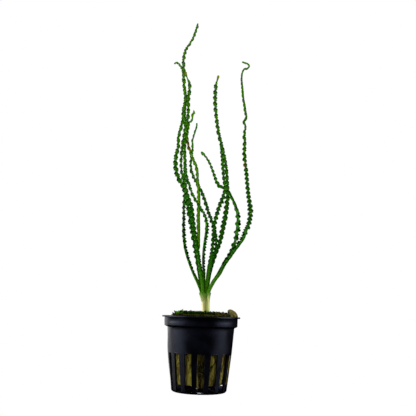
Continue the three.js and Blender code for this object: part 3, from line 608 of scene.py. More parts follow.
def finish_skin(tree, shader, shade, height, depth_mm, strength=1.0):
    """Gives a shader its colour, and its relief from a height pattern of 0 to 1 and a depth in mm."""
    tree.links.new(shade, shader.inputs["Base Color"])
    settings = [("Height", height), ("Distance", depth_mm * MM), ("Strength", strength)]
    bump = add(tree, "ShaderNodeBump", settings)
    tree.links.new(bump.outputs[0], shader.inputs["Normal"])


def moulded_polypropylene(colour):
    """Injection-moulded black polypropylene: a deep black with a weak, broad, slightly blue gloss, because
    the mould leaves a fine satin grain, and duller patches where it has been handled."""
    material, tree, shader = new_material("black moulded polypropylene", 1.49, 0.2)
    shader.inputs["Specular Tint"].default_value = linear("#c0ccff")
    place = add(tree, "ShaderNodeTexCoord").outputs["Object"]
    patches = mottle(tree, place, 6.0)
    grain = mottle(tree, place, 0.7, 4.0)
    shade = coats(tree, colour, [(patches, 0.35, 0.65, 1.0, linear("#05050a"))])
    handled = add(tree, "ShaderNodeMapRange", [(0, patches), (1, 0.35), (2, 0.65), (3, 0.27), (4, 0.4)],
                  interpolation_type="SMOOTHSTEP").outputs[0]
    rough = add(tree, "ShaderNodeMath", [(0, grain), (1, 0.08), (2, handled)], operation="MULTIPLY_ADD")
    tree.links.new(rough.outputs[0], shader.inputs["Roughness"])
    finish_skin(tree, shader, shade, grain, 0.05, 0.6)
    return material


def spun_mineral_wool(name, colour, dark):
    """Wet mineral wool, spun into fine fibres and stained by its water: matt olive and brown, streaked along
    the fibres' lie, with painted shade that darkens it in its folds, creases and hollows."""
    material, tree, shader = new_material(name, 1.5, 0.12, 0.82)
    place = add(tree, "ShaderNodeTexCoord").outputs["Object"]
    stains = mottle(tree, place, 5.0, 4.0, (1, 1, 0.55))
    fibres = mottle(tree, place, 0.8, 5.0, (1, 1, 0.3))
    painted_shade = add(tree, "ShaderNodeAttribute", attribute_name="painted_shade").outputs["Fac"]
    pale = tuple(0.7 * own + 0.3 * straw for own, straw in zip(colour, linear("#b0a860")))
    shade = coats(tree, colour, [
        (stains, 0.4, 0.62, 1.0, linear("#463c10")),
        (fibres, 0.45, 0.62, 0.5, pale),
        # The last coat is painted shade in the folds, creases and hollows, from the piece's mark of painted
        # shade.
        (painted_shade, 0.25, 0.85, 0.95, dark),
    ])
    finish_skin(tree, shader, shade, fibres, 0.35)
    return material


def growing_moss():
    """Living moss: a matt dark green with paler yellow-green new leaflets and olive old ones, one shade for
    each leaflet."""
    material, tree, shader = new_material("wet cushion moss", 1.4, 0.0, 0.6)
    age = add(tree, "ShaderNodeAttribute", attribute_name="age").outputs["Fac"]
    dry = add(tree, "ShaderNodeAttribute", attribute_name="dry").outputs["Fac"]
    shade = coats(tree, linear("#050d03"), [
        (age, 0.15, 0.85, 1.0, linear("#1f3f0c")),
        (age, 0.86, 0.98, 1.0, linear("#4a8a24")),
        (dry, 0.35, 0.8, 1.0, linear("#3a3710")),
    ])
    tree.links.new(shade, shader.inputs["Base Color"])
    return material


def grown_sheath():
    """The blanched bases of the leaves, grown in the dark: cream at the left, brownish in the middle and pale
    green at the right, with fine veins that run up it, and green where the leaves leave it."""
    material, tree, shader = new_material("blanched leaf bases", 1.42, 0.2, 0.42)
    place = add(tree, "ShaderNodeTexCoord").outputs["Object"]
    height = add(tree, "ShaderNodeSeparateXYZ", [(0, place)]).outputs[2]
    side = add(tree, "ShaderNodeAttribute", attribute_name="side").outputs["Fac"]
    veins = mottle(tree, place, 0.55, 3.0, (1, 1, 0.06))
    shade = coats(tree, linear("#dcd4a0"), [
        (side, -0.6, -0.35, 1.0, linear("#8f9150")),
        (side, 0.1, 0.35, 1.0, linear("#98a455")),
        (side, 0.4, 0.6, 1.0, linear("#b9c47c")),
        (veins, 0.5, 0.68, 0.45, linear("#8a8a4c")),
        (height, 60 * MM, 66.5 * MM, 1.0, linear("#4f7f1a")),
    ])
    shader.inputs["Subsurface Weight"].default_value = 0.1
    shader.inputs["Subsurface Scale"].default_value = 1.0 * MM
    finish_skin(tree, shader, shade, veins, 0.1, 0.6)
    return material


def grown_leaf(name, middle, edge, painted_highlight, painted_top_light):
    """Thick living leaf tissue with a waxy skin: paler along the midrib, with painted shade at the teeth of
    the crisped edges, painted yellow-green highlights where an edge rises to the light, painted light that
    makes it lighter and yellower towards the top, a weak satin gloss, and brown or yellow where it dries."""
    material, tree, shader = new_material(name, 1.42, 0.04)
    place = add(tree, "ShaderNodeTexCoord").outputs["Object"]
    height = add(tree, "ShaderNodeSeparateXYZ", [(0, place)]).outputs[2]
    across, lift, brown, yellow = (add(tree, "ShaderNodeAttribute", attribute_name=mark).outputs["Fac"]
                                   for mark in ("across", "lift", "brown", "yellow"))
    spots = mottle(tree, place, 2.2)
    skin = mottle(tree, place, 0.5)
    # Where the painted shade at the teeth reaches in from the edges, raggedly.
    edge_shade_mask = add(tree, "ShaderNodeMath", [(0, spots), (1, 0.6), (2, across)], operation="MULTIPLY_ADD")
    slant = add(tree, "ShaderNodeMath", [(0, lift)], operation="ABSOLUTE")
    level, lit, rough = (
        add(tree, "ShaderNodeMapRange", enumerate(values), interpolation_type="SMOOTHSTEP").outputs[0]
        for values in ((slant.outputs[0], 0.85, 0.25, 0.35, 1.0), (spots, 0.44, 0.58),
                       (skin, 0.3, 0.7, 0.36, 0.5)))
    shade = coats(tree, middle, [
        # Painted light: lighter and yellower towards the top.
        (height, 120 * MM, 250 * MM, 0.8, painted_top_light),
        # Painted shade at the teeth of the crisped edges, strongest where the edge lies level.
        (edge_shade_mask.outputs[0], 0.65, 1.1, level, edge),
        # Painted highlight in spots where an edge rises to the light.
        (lift, 0.2, 0.85, lit, painted_highlight),
        (height, 88 * MM, 66 * MM, 0.9, linear("#4a8614")),
        (height, 67.5 * MM, 62 * MM, 1.0, linear("#b4bc74")),
        (yellow, 0.1, 0.8, 1.0, linear("#7e8410")),
        (brown, 0.1, 0.8, 0.85, linear("#664c10")),
    ])
    tree.links.new(rough, shader.inputs["Roughness"])
    shader.inputs["Subsurface Weight"].default_value = 0.05
    shader.inputs["Subsurface Scale"].default_value = 0.5 * MM
    finish_skin(tree, shader, shade, skin, 0.06, 0.5)
    return material


# Pot


def body_radius(z):
    """The pot's outer radius on its body: two straight tapers, the lower one steeper."""
    heights = (FOOT_ROUNDING, BODY_MIDDLE, BODY_TOP)
    return np.interp(z, heights, (FOOT_RADIUS, BODY_MIDDLE_RADIUS, BODY_TOP_RADIUS))


def pot_profile(height, rim_radius):
    """The outer and inner outlines of the pot's wall as matching rows of (radius, height): the floor, the
    foot as a quarter turn with one row at the slots' sill, the body, the band and the rim."""
    sill = np.arccos(1 - SLOT_BOTTOM / FOOT_ROUNDING)
    turn = np.append(np.linspace(0, sill, 6), np.pi / 2)
    foot_z = FOOT_ROUNDING * (1 - np.cos(turn))
    inner_start = DRAIN_OUTER + 0.05
    inner_r = inner_start + (FOOT_RADIUS - WALL - inner_start) * np.sin(turn)
    inner_z = np.maximum(foot_z, FLOOR + (SLOT_BOTTOM - FLOOR) * (foot_z / SLOT_BOTTOM) ** 2)
    outer_r = FOOT_RADIUS - FOOT_ROUNDING * (1 - np.sin(turn))
    outer = [(r, 0.0) for r in FLOOR_RINGS] + list(zip(outer_r, foot_z))
    inner = [(r, FLOOR) for r in FLOOR_RINGS] + list(zip(inner_r, inner_z))
    for z in BODY_ROWS:
        outer.append((body_radius(z), z))
        inner.append((body_radius(z) - WALL, z))
    for inset, rise in BAND_EDGE:
        r, z = BAND_RADIUS - inset, BAND_BOTTOM + rise
        outer.append((r, z))
        inner.append((r - WALL, z + BAND_STEP * (rise <= 0)))
    under_rim = height - RIM_THICKNESS
    outer += [(BAND_RADIUS, under_rim - RIM_FLARE_HEIGHT), (BAND_RADIUS + RIM_FLARE, under_rim),
              (rim_radius, under_rim)]
    inner += [(BAND_RADIUS - WALL, under_rim - RIM_FLARE_HEIGHT), (BAND_RADIUS - WALL, height),
              (rim_radius, height)]
    return np.array(outer), np.array(inner)


def bowed(r, bearing, z):
    """A radius on the pot's wall with the bow of its left side: a bell curve round the pot, times a smooth
    rise and fall up the wall."""
    bow = BOW_SIZE * bell(half_turn(bearing - BOW_BEARING), BOW_HALF_ANGLE)
    return r + bow * plateau(z, *BOW_HEIGHTS)


def sector_columns(radius, level):
    """The bearings of the pot's columns in each row of its outline: five across a slot and seven to the next
    one. A slot keeps straight sides on the wall, and narrows to a drain on the floor."""
    reach = np.arcsin(SLOT_WIDTH / 2 / np.maximum(radius, DRAIN_OUTER))
    below_sill = level < SLOT_BOTTOM - 0.001
    sill = np.argmin(below_sill)
    reach[below_sill] = np.interp(radius[below_sill], (DRAIN_OUTER, radius[sill]), (DRAIN_REACH, reach[sill]))
    pitch = 2 * np.pi / SLOTS
    in_slot = reach[:, None] * np.array([-1, -0.6, -0.2, 0.2, 0.6])
    between = reach[:, None] + (pitch - 2 * reach[:, None]) * np.arange(7) / 7
    columns = np.concatenate([in_slot, between], 1)
    turn = (SLOT_TURN + np.arange(SLOTS) * pitch)[None, :, None] + columns[:, None, :]
    return turn.reshape(len(radius), -1), in_slot.shape[1], columns.shape[1]


def turned_outline(outline, turn):
    """The points of an outline turned round the pot's axis, at a bearing for each row and column."""
    z = outline[:, 1:]
    return polar(turn - np.pi / 2, bowed(outline[:, :1], turn, z), z).reshape(-1, 3)


def joining_strips(cells, hole, below):
    """The faces that join the outer sheet to the inner one along every edge of a hole: one for each side that
    a cell of a hole shares with a cell that is kept."""
    strips = []
    for axis, (start, end) in ((1, (0, 3)), (0, (0, 1))):
        before = np.roll(hole, 1, axis=axis)
        if axis == 0:
            before[0] = False
        for state, flip in ((hole & ~before, False), (before & ~hole, True)):
            edge = cells[state.reshape(-1)]
            a, b = edge[:, start], edge[:, end]
            strip = np.stack([a, b, b + below, a + below], 1)
            strips.append(strip[:, ::-1] if flip != (axis == 0) else strip)
    return strips


def add_pot(height, rim_radius, material):
    """The pot is a sheet with a wall's thickness turned round its axis: r and z follow the two outlines, and
    the angle runs round in like sectors. The cells of slots and drains are left out, and strips join the two
    sheets along every edge of a hole and round the rim."""
    outer, inner = pot_profile(height, rim_radius)
    rows = len(outer)
    radius, level = outer[:, 0], outer[:, 1]
    turn, slot_columns, sector = sector_columns(radius, level)
    points = np.concatenate([turned_outline(outer, turn), turned_outline(inner, turn)])
    count = turn.shape[1]
    cells = grid_faces(rows, count)
    row, column = np.divmod(np.arange(len(cells)), count)
    middle_z = (level[row] + level[row + 1]) / 2
    middle_r = (radius[row] + radius[row + 1]) / 2
    on_wall = (middle_z > SLOT_BOTTOM) & (middle_z < SLOT_TOP)
    on_floor = (middle_z < 0.01) & (middle_r > DRAIN_INNER) & (middle_r < DRAIN_OUTER)
    hole = (column % sector < slot_columns) & (on_wall | on_floor)
    below = rows * count
    last = np.arange(count) + (rows - 1) * count
    ahead = np.roll(last, -1)
    rim_faces = np.stack([last, ahead, ahead + below, last + below], 1)
    strips = joining_strips(cells, hole.reshape(rows - 1, count), below)
    sheets = np.concatenate([cells[~hole], cells[~hole][:, ::-1] + below, *strips, rim_faces])
    fins = [fin_block(SLOT_TURN + 2 * np.pi * (1.5 / SLOTS + k / FINS)) for k in range(FINS)]
    fin_faces = [faces + len(points) + k * len(corners) for k, (corners, faces) in enumerate(fins)]
    pot = add_mesh("pot_moulding", np.concatenate([points, *(corners for corners, faces in fins)]),
                   np.concatenate([sheets[:, ::-1], *fin_faces]))
    edges = pot.modifiers.new("moulded edges", "BEVEL")
    edges.width = MOULDED_EDGE * MM
    edges.segments = 2
    edges.limit_method = "ANGLE"
    edges.angle_limit = np.radians(38)
    edges.harden_normals = False
    return dress(pot, material, "pot_plastic", "pot")


def fin_block(bearing):
    """A low upright fin on the pot's floor: a thin block along a bearing, from near the middle to the
    wall."""
    outline = ((-1, 0), (1, 0), (1, 1), (-1, 1))
    corners = np.array([(side, along, up) for up in (0, 1) for side, along in outline])
    across = corners[:, 0] * FIN_THICKNESS / 2
    out = FIN_INNER + (FOOT_RADIUS - WALL / 2 - FIN_INNER) * corners[:, 1]
    z = FIN_BOTTOM + (FIN_TOP - FIN_BOTTOM) * corners[:, 2]
    points = np.stack([across * np.cos(bearing) + out * np.sin(bearing),
                       across * np.sin(bearing) - out * np.cos(bearing), z], 1)
    faces = np.array([(0, 1, 2, 3), (4, 7, 6, 5), (0, 4, 5, 1), (1, 5, 6, 2), (2, 6, 7, 3), (3, 7, 4, 0)])
    return points, outwards(points, faces)


# Growing medium


def wool_side(turn, z):
    """A place on the plug's side, and the painted shade that it gets in its folds and creases: the pot's
    inner radius less a gap, drawn in by upright folds, by lumps and by the deep creases, each a bell curve
    across its own line. The left side is pressed flat, and the side swells into one slot at the right."""
    heights = (FOOT_ROUNDING, BODY_MIDDLE, BODY_TOP, BAND_BOTTOM + WALL)
    radii = (FOOT_RADIUS, BODY_MIDDLE_RADIUS, BODY_TOP_RADIUS, BAND_RADIUS)
    inner = np.interp(z, heights, radii) - WALL - WOOL_GAP
    around = polar(turn, 14, z * 0.22)
    fold = np.clip(0.32 + 0.3 * lumps(around, 7.0, 11), 0, 1)
    crease = np.clip(lumps(around, 3.4, 12) - 0.45, 0, 1) * 0.9
    fine = 0.12 * np.abs(lumps(polar(turn, 20, z * 0.5), 1.5, 13))
    deep = 0 * z
    for at, height, half_length, half_width, lean, depth in CREASES:
        across = half_turn(turn + np.pi / 2 - np.radians(at)) * 19
        up = z - height
        lean = np.radians(lean)
        along = up * np.cos(lean) + across * np.sin(lean)
        aside = across * np.cos(lean) - up * np.sin(lean)
        deep = deep + depth * bell(along, half_length, 4) * bell(aside, half_width)
    # Painted shade: darker in the upright folds, in the creases between the lumps and in the deep creases.
    painted_shade = 0.5 * fold + crease + 0.6 * deep
    r = inner - 1.1 * fold - crease - fine - deep
    swell = bell(half_turn(turn + np.pi / 2 - BULGE_BEARING), BULGE_HALF_ANGLE, 4)
    swell = swell * plateau(z, *BULGE_HEIGHTS)
    r = r + (body_radius(z) - BULGE_DEPTH - r) * swell
    x, y = r * np.cos(turn), r * np.sin(turn)
    pressed = plateau(z, *WOOL_PRESSED_HEIGHTS)
    x = np.where(x < WOOL_PRESSED_X, x + (WOOL_PRESSED_X - x) * pressed, x)
    return np.stack([x, y, z], -1), painted_shade


def add_wool(material):
    """The plug of wool: its side as a grid of angle and height, closed above and below by rings that shrink
    to the middle. At the front its foot hangs lower, by a bell curve in x and y. The rings above and below
    take a fixed painted shade, and the hanging foot is painted darker as painted shade."""
    side, painted_shade = wool_side(*np.meshgrid(turns(300), np.linspace(WOOL_BOTTOM, WOOL_TOP, 110)))
    share = np.linspace(1, 0, 9)[1:]
    top = side[-1][None] * share[:, None, None] ** np.array([1, 1, 0])
    foot = side[0][None] * share[::-1, None, None] ** np.array([1, 1, 0])
    foot[..., 2] += 0.35 * lumps(foot, 4.0, 14)
    foot[0, :] = (0, 0, WOOL_BOTTOM)
    top[-1, :] = (0, 0, WOOL_TOP)
    points = np.concatenate([foot, side, top])
    # Painted shade: a fixed share on the rings below and above.
    painted_shade = np.concatenate([np.full(foot.shape[:2], 0.5), painted_shade, np.full(top.shape[:2], 0.4)])
    away = (points[..., :2] - SAG_CENTRE) / SAG_REACH
    sag = np.exp(-(away ** 2).sum(-1)) * smooth(SAG_TOP, WOOL_BOTTOM, points[..., 2])
    points[..., 2] -= SAG_DEPTH * sag
    # The hanging foot adds painted shade.
    plug = add_surface("mineral_wool_plug", points, {"painted_shade": painted_shade + 0.6 * sag})
    return dress(plug, material, "mineral_wool", "wool_plug")


def strands(start, heading, bend, length, radius, steps=6, sides=3):
    """Fine closed fibres: each is a tube whose middle line starts at a point and turns steadily from its
    heading towards its bend, and whose radius goes to nothing at both ends. Its first side is square to one
    slanted direction that no fibre lies along."""
    t = np.linspace(0, 1, steps)[None, :, None]
    line = start[:, None] + (heading[:, None] * t + bend[:, None] * t ** 2) * length[:, None, None]
    along = unit(np.gradient(line, axis=1))
    aside = unit(np.cross(along, np.array([0.31, 0.2, 0.93])))
    up = np.cross(along, aside)
    angle = turns(sides)[:, None]
    thick = radius[:, None, None] * np.sqrt(np.clip(1 - (2 * t - 1) ** 4, 0, 1))
    ring = aside[:, :, None] * np.cos(angle) + up[:, :, None] * np.sin(angle)
    points = line[:, :, None] + ring * thick[..., None]
    faces = grid_faces(steps, sides)[None] + (np.arange(len(start)) * steps * sides)[:, None, None]
    return points.reshape(-1, 3), faces.reshape(-1, 4)[:, ::-1]


def add_wool_fibres(count, material):
    """Loose fibres that lie on the plug's side where the slots show it: seeded starts and mostly upright
    headings, laid on the side's own formula."""
    rng = np.random.default_rng(21)
    turn = rng.uniform(0, 2 * np.pi, count)
    z = rng.uniform(WOOL_BOTTOM + 0.5, FIBRES_TOP, count)
    drift = rng.normal(0, 0.16, count)
    rise = rng.uniform(*FIBRE_LENGTHS, count) * rng.choice([-1, 1], count)
    start, painted_shade = wool_side(turn, z)
    end, _ = wool_side(turn + drift, np.clip(z + rise, WOOL_BOTTOM + 0.4, FIBRES_TOP + 1))
    outward = polar(turn, 1, 0)
    start = start + outward * rng.uniform(-0.02, 0.1, count)[:, None]
    run = end - start
    bend = outward * rng.uniform(-0.06, 0.1, count)[:, None]
    radius = rng.uniform(*FIBRE_RADII, count)
    points, faces = strands(start, unit(run), bend, np.linalg.norm(run, axis=1), radius)
    # Each fibre takes a seeded share of the painted shade of the side where it starts.
    shade = np.repeat(painted_shade * rng.uniform(0, 1, count), len(points) // count)
    fibres = add_mesh("mineral_wool_fibres", points, faces, {"painted_shade": shade})
    return dress(fibres, material, "mineral_wool", "wool_plug")


def moss_height(x, y):
    """The top of the moss cushion: a flat dome that falls to its edge, with lumps."""
    r = np.hypot(x, y) / MOSS_RADIUS
    dome = MOSS_CROWN - 0.4 * r - MOSS_EDGE_FALL * smooth(MOSS_SHOULDER, 1.0, r)
    place = np.stack([x, y, 0 * x], -1)
    return dome + 0.5 * lumps(place, 4.2, 31) + 0.2 * lumps(place, 1.6, 32)


def moss_ground():
    """The ground of the moss as a grid of points: a domed sheet from the middle to a wavy edge, closed by a
    flat sheet below."""
    turn, share = np.meshgrid(turns(120), np.linspace(0, 1, 30))
    edge = MOSS_RADIUS * (1 + 0.02 * np.sin(5 * turn) + 0.015 * np.sin(11 * turn + 1))
    x, y = np.minimum(edge * share * np.cos(turn), MOSS_RIGHT), edge * share * np.sin(turn)
    top = np.stack([x, y, np.maximum(moss_height(x, y) - MOSS_COVER, MOSS_BOTTOM + 0.1)], -1)
    under = top[::-1] * (1, 1, 0) + (0, 0, MOSS_BOTTOM)
    ground = np.concatenate([top, under])
    ground[0], ground[-1] = ground[0].mean(0), ground[-1].mean(0)
    return ground


def leaflet_grains(foot, out, wide, thin):
    """Long eight-sided grains: each has a foot, four corners round it at 0.45 of its length, and a tip."""
    middle = foot + 0.45 * out
    return np.stack([foot, middle + wide, middle + thin, middle - wide, middle - thin, foot + out], -2)


def blade_grains():
    """The larger single leaflets as grains, a fifth as wide as they are long."""
    foot, run = BLADES[:, :3], BLADES[:, 3:6] - BLADES[:, :3]
    wide = 0.2 * np.cross(run, (0, 1, 0))
    return leaflet_grains(foot, run, wide, 0.2 * unit(np.cross(run, wide)))


def add_moss(count, leaflets, material):
    """The moss: its ground, and short sprigs on it. A sprig is a line from the ground along a seeded heading
    that leans outwards near the edge, and its leaflets are grains set round it in a spiral."""
    rng = np.random.default_rng(33)
    grid = moss_ground()
    ground = grid.reshape(-1, 3)
    ground_faces = outwards(ground, grid_faces(*grid.shape[:2]))

    bearing = rng.uniform(0, 2 * np.pi, count)
    reach = MOSS_RADIUS * np.sqrt(rng.uniform(0, 1, count)) * 0.985
    at_edge = rng.uniform(0, 1, count) < 0.4
    reach = np.where(at_edge, MOSS_RADIUS * rng.uniform(MOSS_SHOULDER, 1.0, count), reach)
    foot = polar(bearing, reach, 0)
    foot[:, 0] = np.minimum(foot[:, 0], MOSS_RIGHT + 0.3)
    clear = np.hypot(foot[:, 0] - NECK_FOOT_X, foot[:, 1]) > NECK_CLEARANCE
    foot, bearing, reach = foot[clear], bearing[clear], reach[clear]
    foot[:, 2] = np.maximum(moss_height(foot[:, 0], foot[:, 1]) - SPRIG_ROOT, MOSS_BOTTOM + 0.1)
    lean = 0.5 * (0.25 + 0.75 * (reach / MOSS_RADIUS) ** 2)
    heading = polar(bearing, lean, 1.0)
    heading = unit(heading + rng.normal(0, 0.38, heading.shape))
    tall = rng.uniform(*SPRIG_LENGTHS, len(foot))
    taller = np.exp(-((foot[:, :2] - TALL_SPRIGS) ** 2).sum(1) / TALL_SPRIGS_SPREAD)
    tall = tall * (1 + 0.5 * taller)

    share = (np.arange(leaflets) + 0.5) / leaflets
    node = foot[:, None] + heading[:, None] * (tall[:, None] * share)[..., None]
    spin = rng.uniform(0, 2 * np.pi, len(foot))[:, None] + np.arange(leaflets) * LEAFLET_TURN
    flat = unit(np.cross(heading, rng.normal(size=heading.shape)))
    other = np.cross(heading, flat)
    out = flat[:, None] * np.cos(spin)[..., None] + other[:, None] * np.sin(spin)[..., None]
    out = unit(0.8 * out + 0.6 * heading[:, None])
    long = rng.uniform(*LEAFLET_LENGTHS, spin.shape)[..., None] * (1 + 0.5 * taller)[:, None, None]
    wide = unit(np.cross(out, heading[:, None]))
    thin = np.cross(out, wide)
    half_width, half_thickness = long * LEAFLET_HALF_WIDTH, long * LEAFLET_HALF_THICKNESS
    grains = leaflet_grains(node, out * long, wide * half_width, thin * half_thickness)
    grains[..., 0, :] = node - 0.05 * out
    grains = np.concatenate([grains.reshape(-1, 6, 3), blade_grains()])
    grains[..., 2] = np.clip(grains[..., 2], MOSS_BOTTOM + 0.02, MOSS_TALLEST)
    sides = ((1, 2), (2, 3), (3, 4), (4, 1))
    one = np.array([(0, a, b, b) for a, b in sides] + [(5, b, a, a) for a, b in sides])
    one = outwards(grains[0], one)
    faces = one[None] + (np.arange(len(grains)) * 6)[:, None, None] + len(ground)

    age = rng.uniform(0, 0.85, spin.shape) ** 1.3 + 0.35 * taller[:, None] * (share > 0.5)
    dry = smooth(5, 13, node[..., 0]) * rng.uniform(0.4, 1.0, spin.shape)
    dry = dry + 0.5 * (rng.uniform(0, 1, spin.shape) > 0.88)
    dry = dry + smooth(52.5, 51.4, node[..., 2]) * rng.uniform(0.5, 1.0, spin.shape)
    marks = {
        "age": np.concatenate([np.zeros(len(ground)), np.repeat(np.append(age, BLADES[:, 6]), 6)]),
        "dry": np.concatenate([np.full(len(ground), 0.3), np.repeat(np.append(dry, BLADES[:, 7]), 6)]),
    }
    points = np.concatenate([ground, grains.reshape(-1, 3)])
    moss = add_mesh("moss_cushion", points, np.concatenate([ground_faces, faces.reshape(-1, 4)]), marks)
    return dress(moss, material, "moss", "moss")


def add_flap(material):
    """The torn flap of wool: the upper half of a ball drawn out from front to back, leaning to the left as it
    rises, with low lumps, on an almost flat underside. A dark line up its left, its right side and its lower
    part are painted shade."""
    turn, tilt = np.meshgrid(turns(96), np.linspace(0, np.pi, 60))
    ball = polar(turn, np.sin(tilt), np.cos(tilt))
    x, y, z = ball[..., 0], ball[..., 1], ball[..., 2]
    rough = lumps(ball, 0.35, 42)
    size = 0.98 + 0.02 * lumps(ball, 0.9, 41) + 0.012 * rough
    across = x * FLAP_HALF[0] * size - np.maximum(z, 0) ** 2 * FLAP_LEAN
    up = np.where(z > 0, z * FLAP_HALF[2] * size, z * 0.2)
    points = np.stack([across, y * FLAP_HALF[1] * size, up + 0.2], -1) + FLAP_CENTRE
    points[0], points[-1] = points[0].mean(0), points[-1].mean(0)
    # Painted shade: a dark line up the left and a darker right side. The next line adds darker lower parts.
    painted_side_shade = bell(x + 0.68, 0.16) + smooth(0.6, 0.95, x)
    painted_shade = np.clip(0.2 - 0.3 * rough + 0.4 * smooth(0.4, -0.1, z) + painted_side_shade, 0, 1)
    flap = add_surface("mineral_wool_flap", points, {"painted_shade": painted_shade})
    return dress(flap, material, "mineral_wool", "wool_flap")


# Plant


def neck_rise(z):
    """How far a height is up the part of the neck that widens, from 0 to 1."""
    return np.clip((z - NECK_STRAIGHT_TO) / (NECK_TOP - NECK_STRAIGHT_TO), 0, 1)


def neck_radius(z):
    """The neck's radius, which grows above the moss by 0.7 of the rise and 0.85 of its fourth power."""
    return NECK_RADIUS + 0.7 * neck_rise(z) + 0.85 * neck_rise(z) ** 4


def neck_middle(z):
    """The x of the neck's middle, from its foot to its head."""
    return NECK_FOOT_X + (NECK_HEAD_X - NECK_FOOT_X) * neck_rise(z)


def add_neck(material):
    """The neck is a stalk of overlapping leaf bases: a circle whose radius is ribbed by sines of the angle,
    carried up its middle line and a little flattened from front to back near its head. Its upper edge dips
    between the leaf bases and falls inwards as a shallow cup, and rings that shrink close both ends."""
    turn, z = np.meshgrid(turns(120), np.linspace(NECK_BOTTOM, NECK_TOP, 90))
    rib = 0.035 * np.sin(7 * turn + 0.04 * z) + 0.02 * np.sin(13 * turn + 1.0 - 0.06 * z)
    rib = rib + 0.03 * np.abs(np.sin(2.5 * turn + 0.4)) - 0.03
    r = neck_radius(z) * (1 + rib)
    dip = NECK_DIP * np.abs(np.cos(2.5 * turn)) * smooth(NECK_DIP_FROM, NECK_TOP, z)
    flat = 1 - NECK_FLATNESS * smooth(NECK_FLAT_FROM, NECK_TOP, z)
    side = np.stack([neck_middle(z) + r * np.sin(turn), -r * flat * np.cos(turn), z - dip], -1)
    closing = np.array([0.96, 0.75, 0.4, 0.0])[:, None, None]
    low = np.array([neck_middle(NECK_BOTTOM), 0, NECK_BOTTOM])
    high = np.array([neck_middle(NECK_TOP), 0, NECK_TOP - NECK_CUP])
    foot = (low + (side[0] - low)[None] * closing)[::-1]
    head = high + (side[-1] - high)[None] * closing
    points = np.concatenate([foot, side, head])
    across = (points[..., 0] - neck_middle(points[..., 2])) / neck_radius(points[..., 2])
    neck = add_surface("leaf_base_neck", points, {"side": across})
    return dress(neck, material, "leaf_sheath", "neck")


def through(points, steps=16):
    """A uniform Catmull-Rom curve through rows of numbers, its ends carried on in a straight line."""
    p = np.vstack([2 * points[0] - points[1], points, 2 * points[-1] - points[-2]])
    a, b, c, d = p[:-3, None], p[1:-2, None], p[2:-1, None], p[3:, None]
    t = np.linspace(0, 1, steps, endpoint=False)[None, :, None]
    square, cube = 2 * a - 5 * b + 4 * c - d, 3 * b - a - 3 * c + d
    curve = 0.5 * (2 * b + (c - a) * t + square * t ** 2 + cube * t ** 3)
    return np.vstack([curve.reshape(-1, points.shape[1]), points[-1:]])


def leaf_line(route):
    """The leaf's middle line, half width and height on the upright plane, in even steps: the route's points
    moved to their depths along the sight line, a start inside the neck, and a smooth curve through them, cut
    by its own length."""
    route = np.array(route, float)
    on_plane = np.stack([route[:, 0], 0 * route[:, 0], route[:, 1]], 1)
    points = (on_plane - EYE) * (1 - route[:, 2:3] / EYE[1]) + EYE
    foot = []
    for z, share, half in LEAF_FEET:
        away = (points[0] - (neck_middle(LEAF_BASE), 0, 0)) * share
        foot.append((neck_middle(z) + away[0], away[1], z, half, z))
    rows = np.vstack([foot, np.column_stack([points, route[:, 3], route[:, 1]])])
    curve = through(rows)
    lengths = np.concatenate([[0], np.cumsum(np.linalg.norm(np.diff(curve[:, :3], axis=0), axis=1))])
    s = np.linspace(0, lengths[-1], int(lengths[-1] / SECTION_STEP))
    even = np.stack([np.interp(s, lengths, curve[:, k]) for k in range(5)], 1)
    return s, even[:, :3], even[:, 3], even[:, 4]


def spread_mean(values, reach):
    """The running mean of a row of values over a number of steps, its ends carried on."""
    padded = np.pad(values, reach, mode="edge")
    return np.convolve(padded, np.full(2 * reach + 1, 1 / (2 * reach + 1)), "valid")


def section_shape(half, base):
    """A leaf's section as a thin closed strip: how far each point is across it, from -1 to 1, and how far it
    is above or below its middle, thickest at the midrib."""
    angle = turns(SECTION_POINTS) + np.pi / SECTION_POINTS
    flat = np.sign(np.cos(angle)) * np.abs(np.cos(angle)) ** 0.8
    level = np.sign(np.sin(angle)) * np.abs(np.sin(angle)) ** 0.55
    rib = np.maximum(0.3 * half, 0.28)[:, None] * (1 + 0.9 * base)
    skin = LEAF_SKIN + 0.4 * base
    return flat, level * (skin + (rib - skin) * bell(flat, 0.34))


def width_scale(section, seen, half, window):
    """What each section is scaled by, so that its width across the line of sight, smoothed over a wave, is
    the route's. The fit is made twice, because the leaf's thickness isn't scaled."""
    scale = np.ones((len(half), 1))
    for _ in range(2):
        across = (section(scale) * seen[:, None]).sum(-1)
        wide = np.pad((across.max(1) - across.min(1)) / 2, window, mode="edge")
        near = np.lib.stride_tricks.sliding_window_view(wide, 2 * window + 1)
        widest = np.sort(near, axis=1)[:, -max(2, window // 3)]
        fit = np.clip(half / np.maximum(spread_mean(widest, window), 0.2), 0.75, 1.7)
        scale = scale * spread_mean(fit, window)[:, None]
    return scale


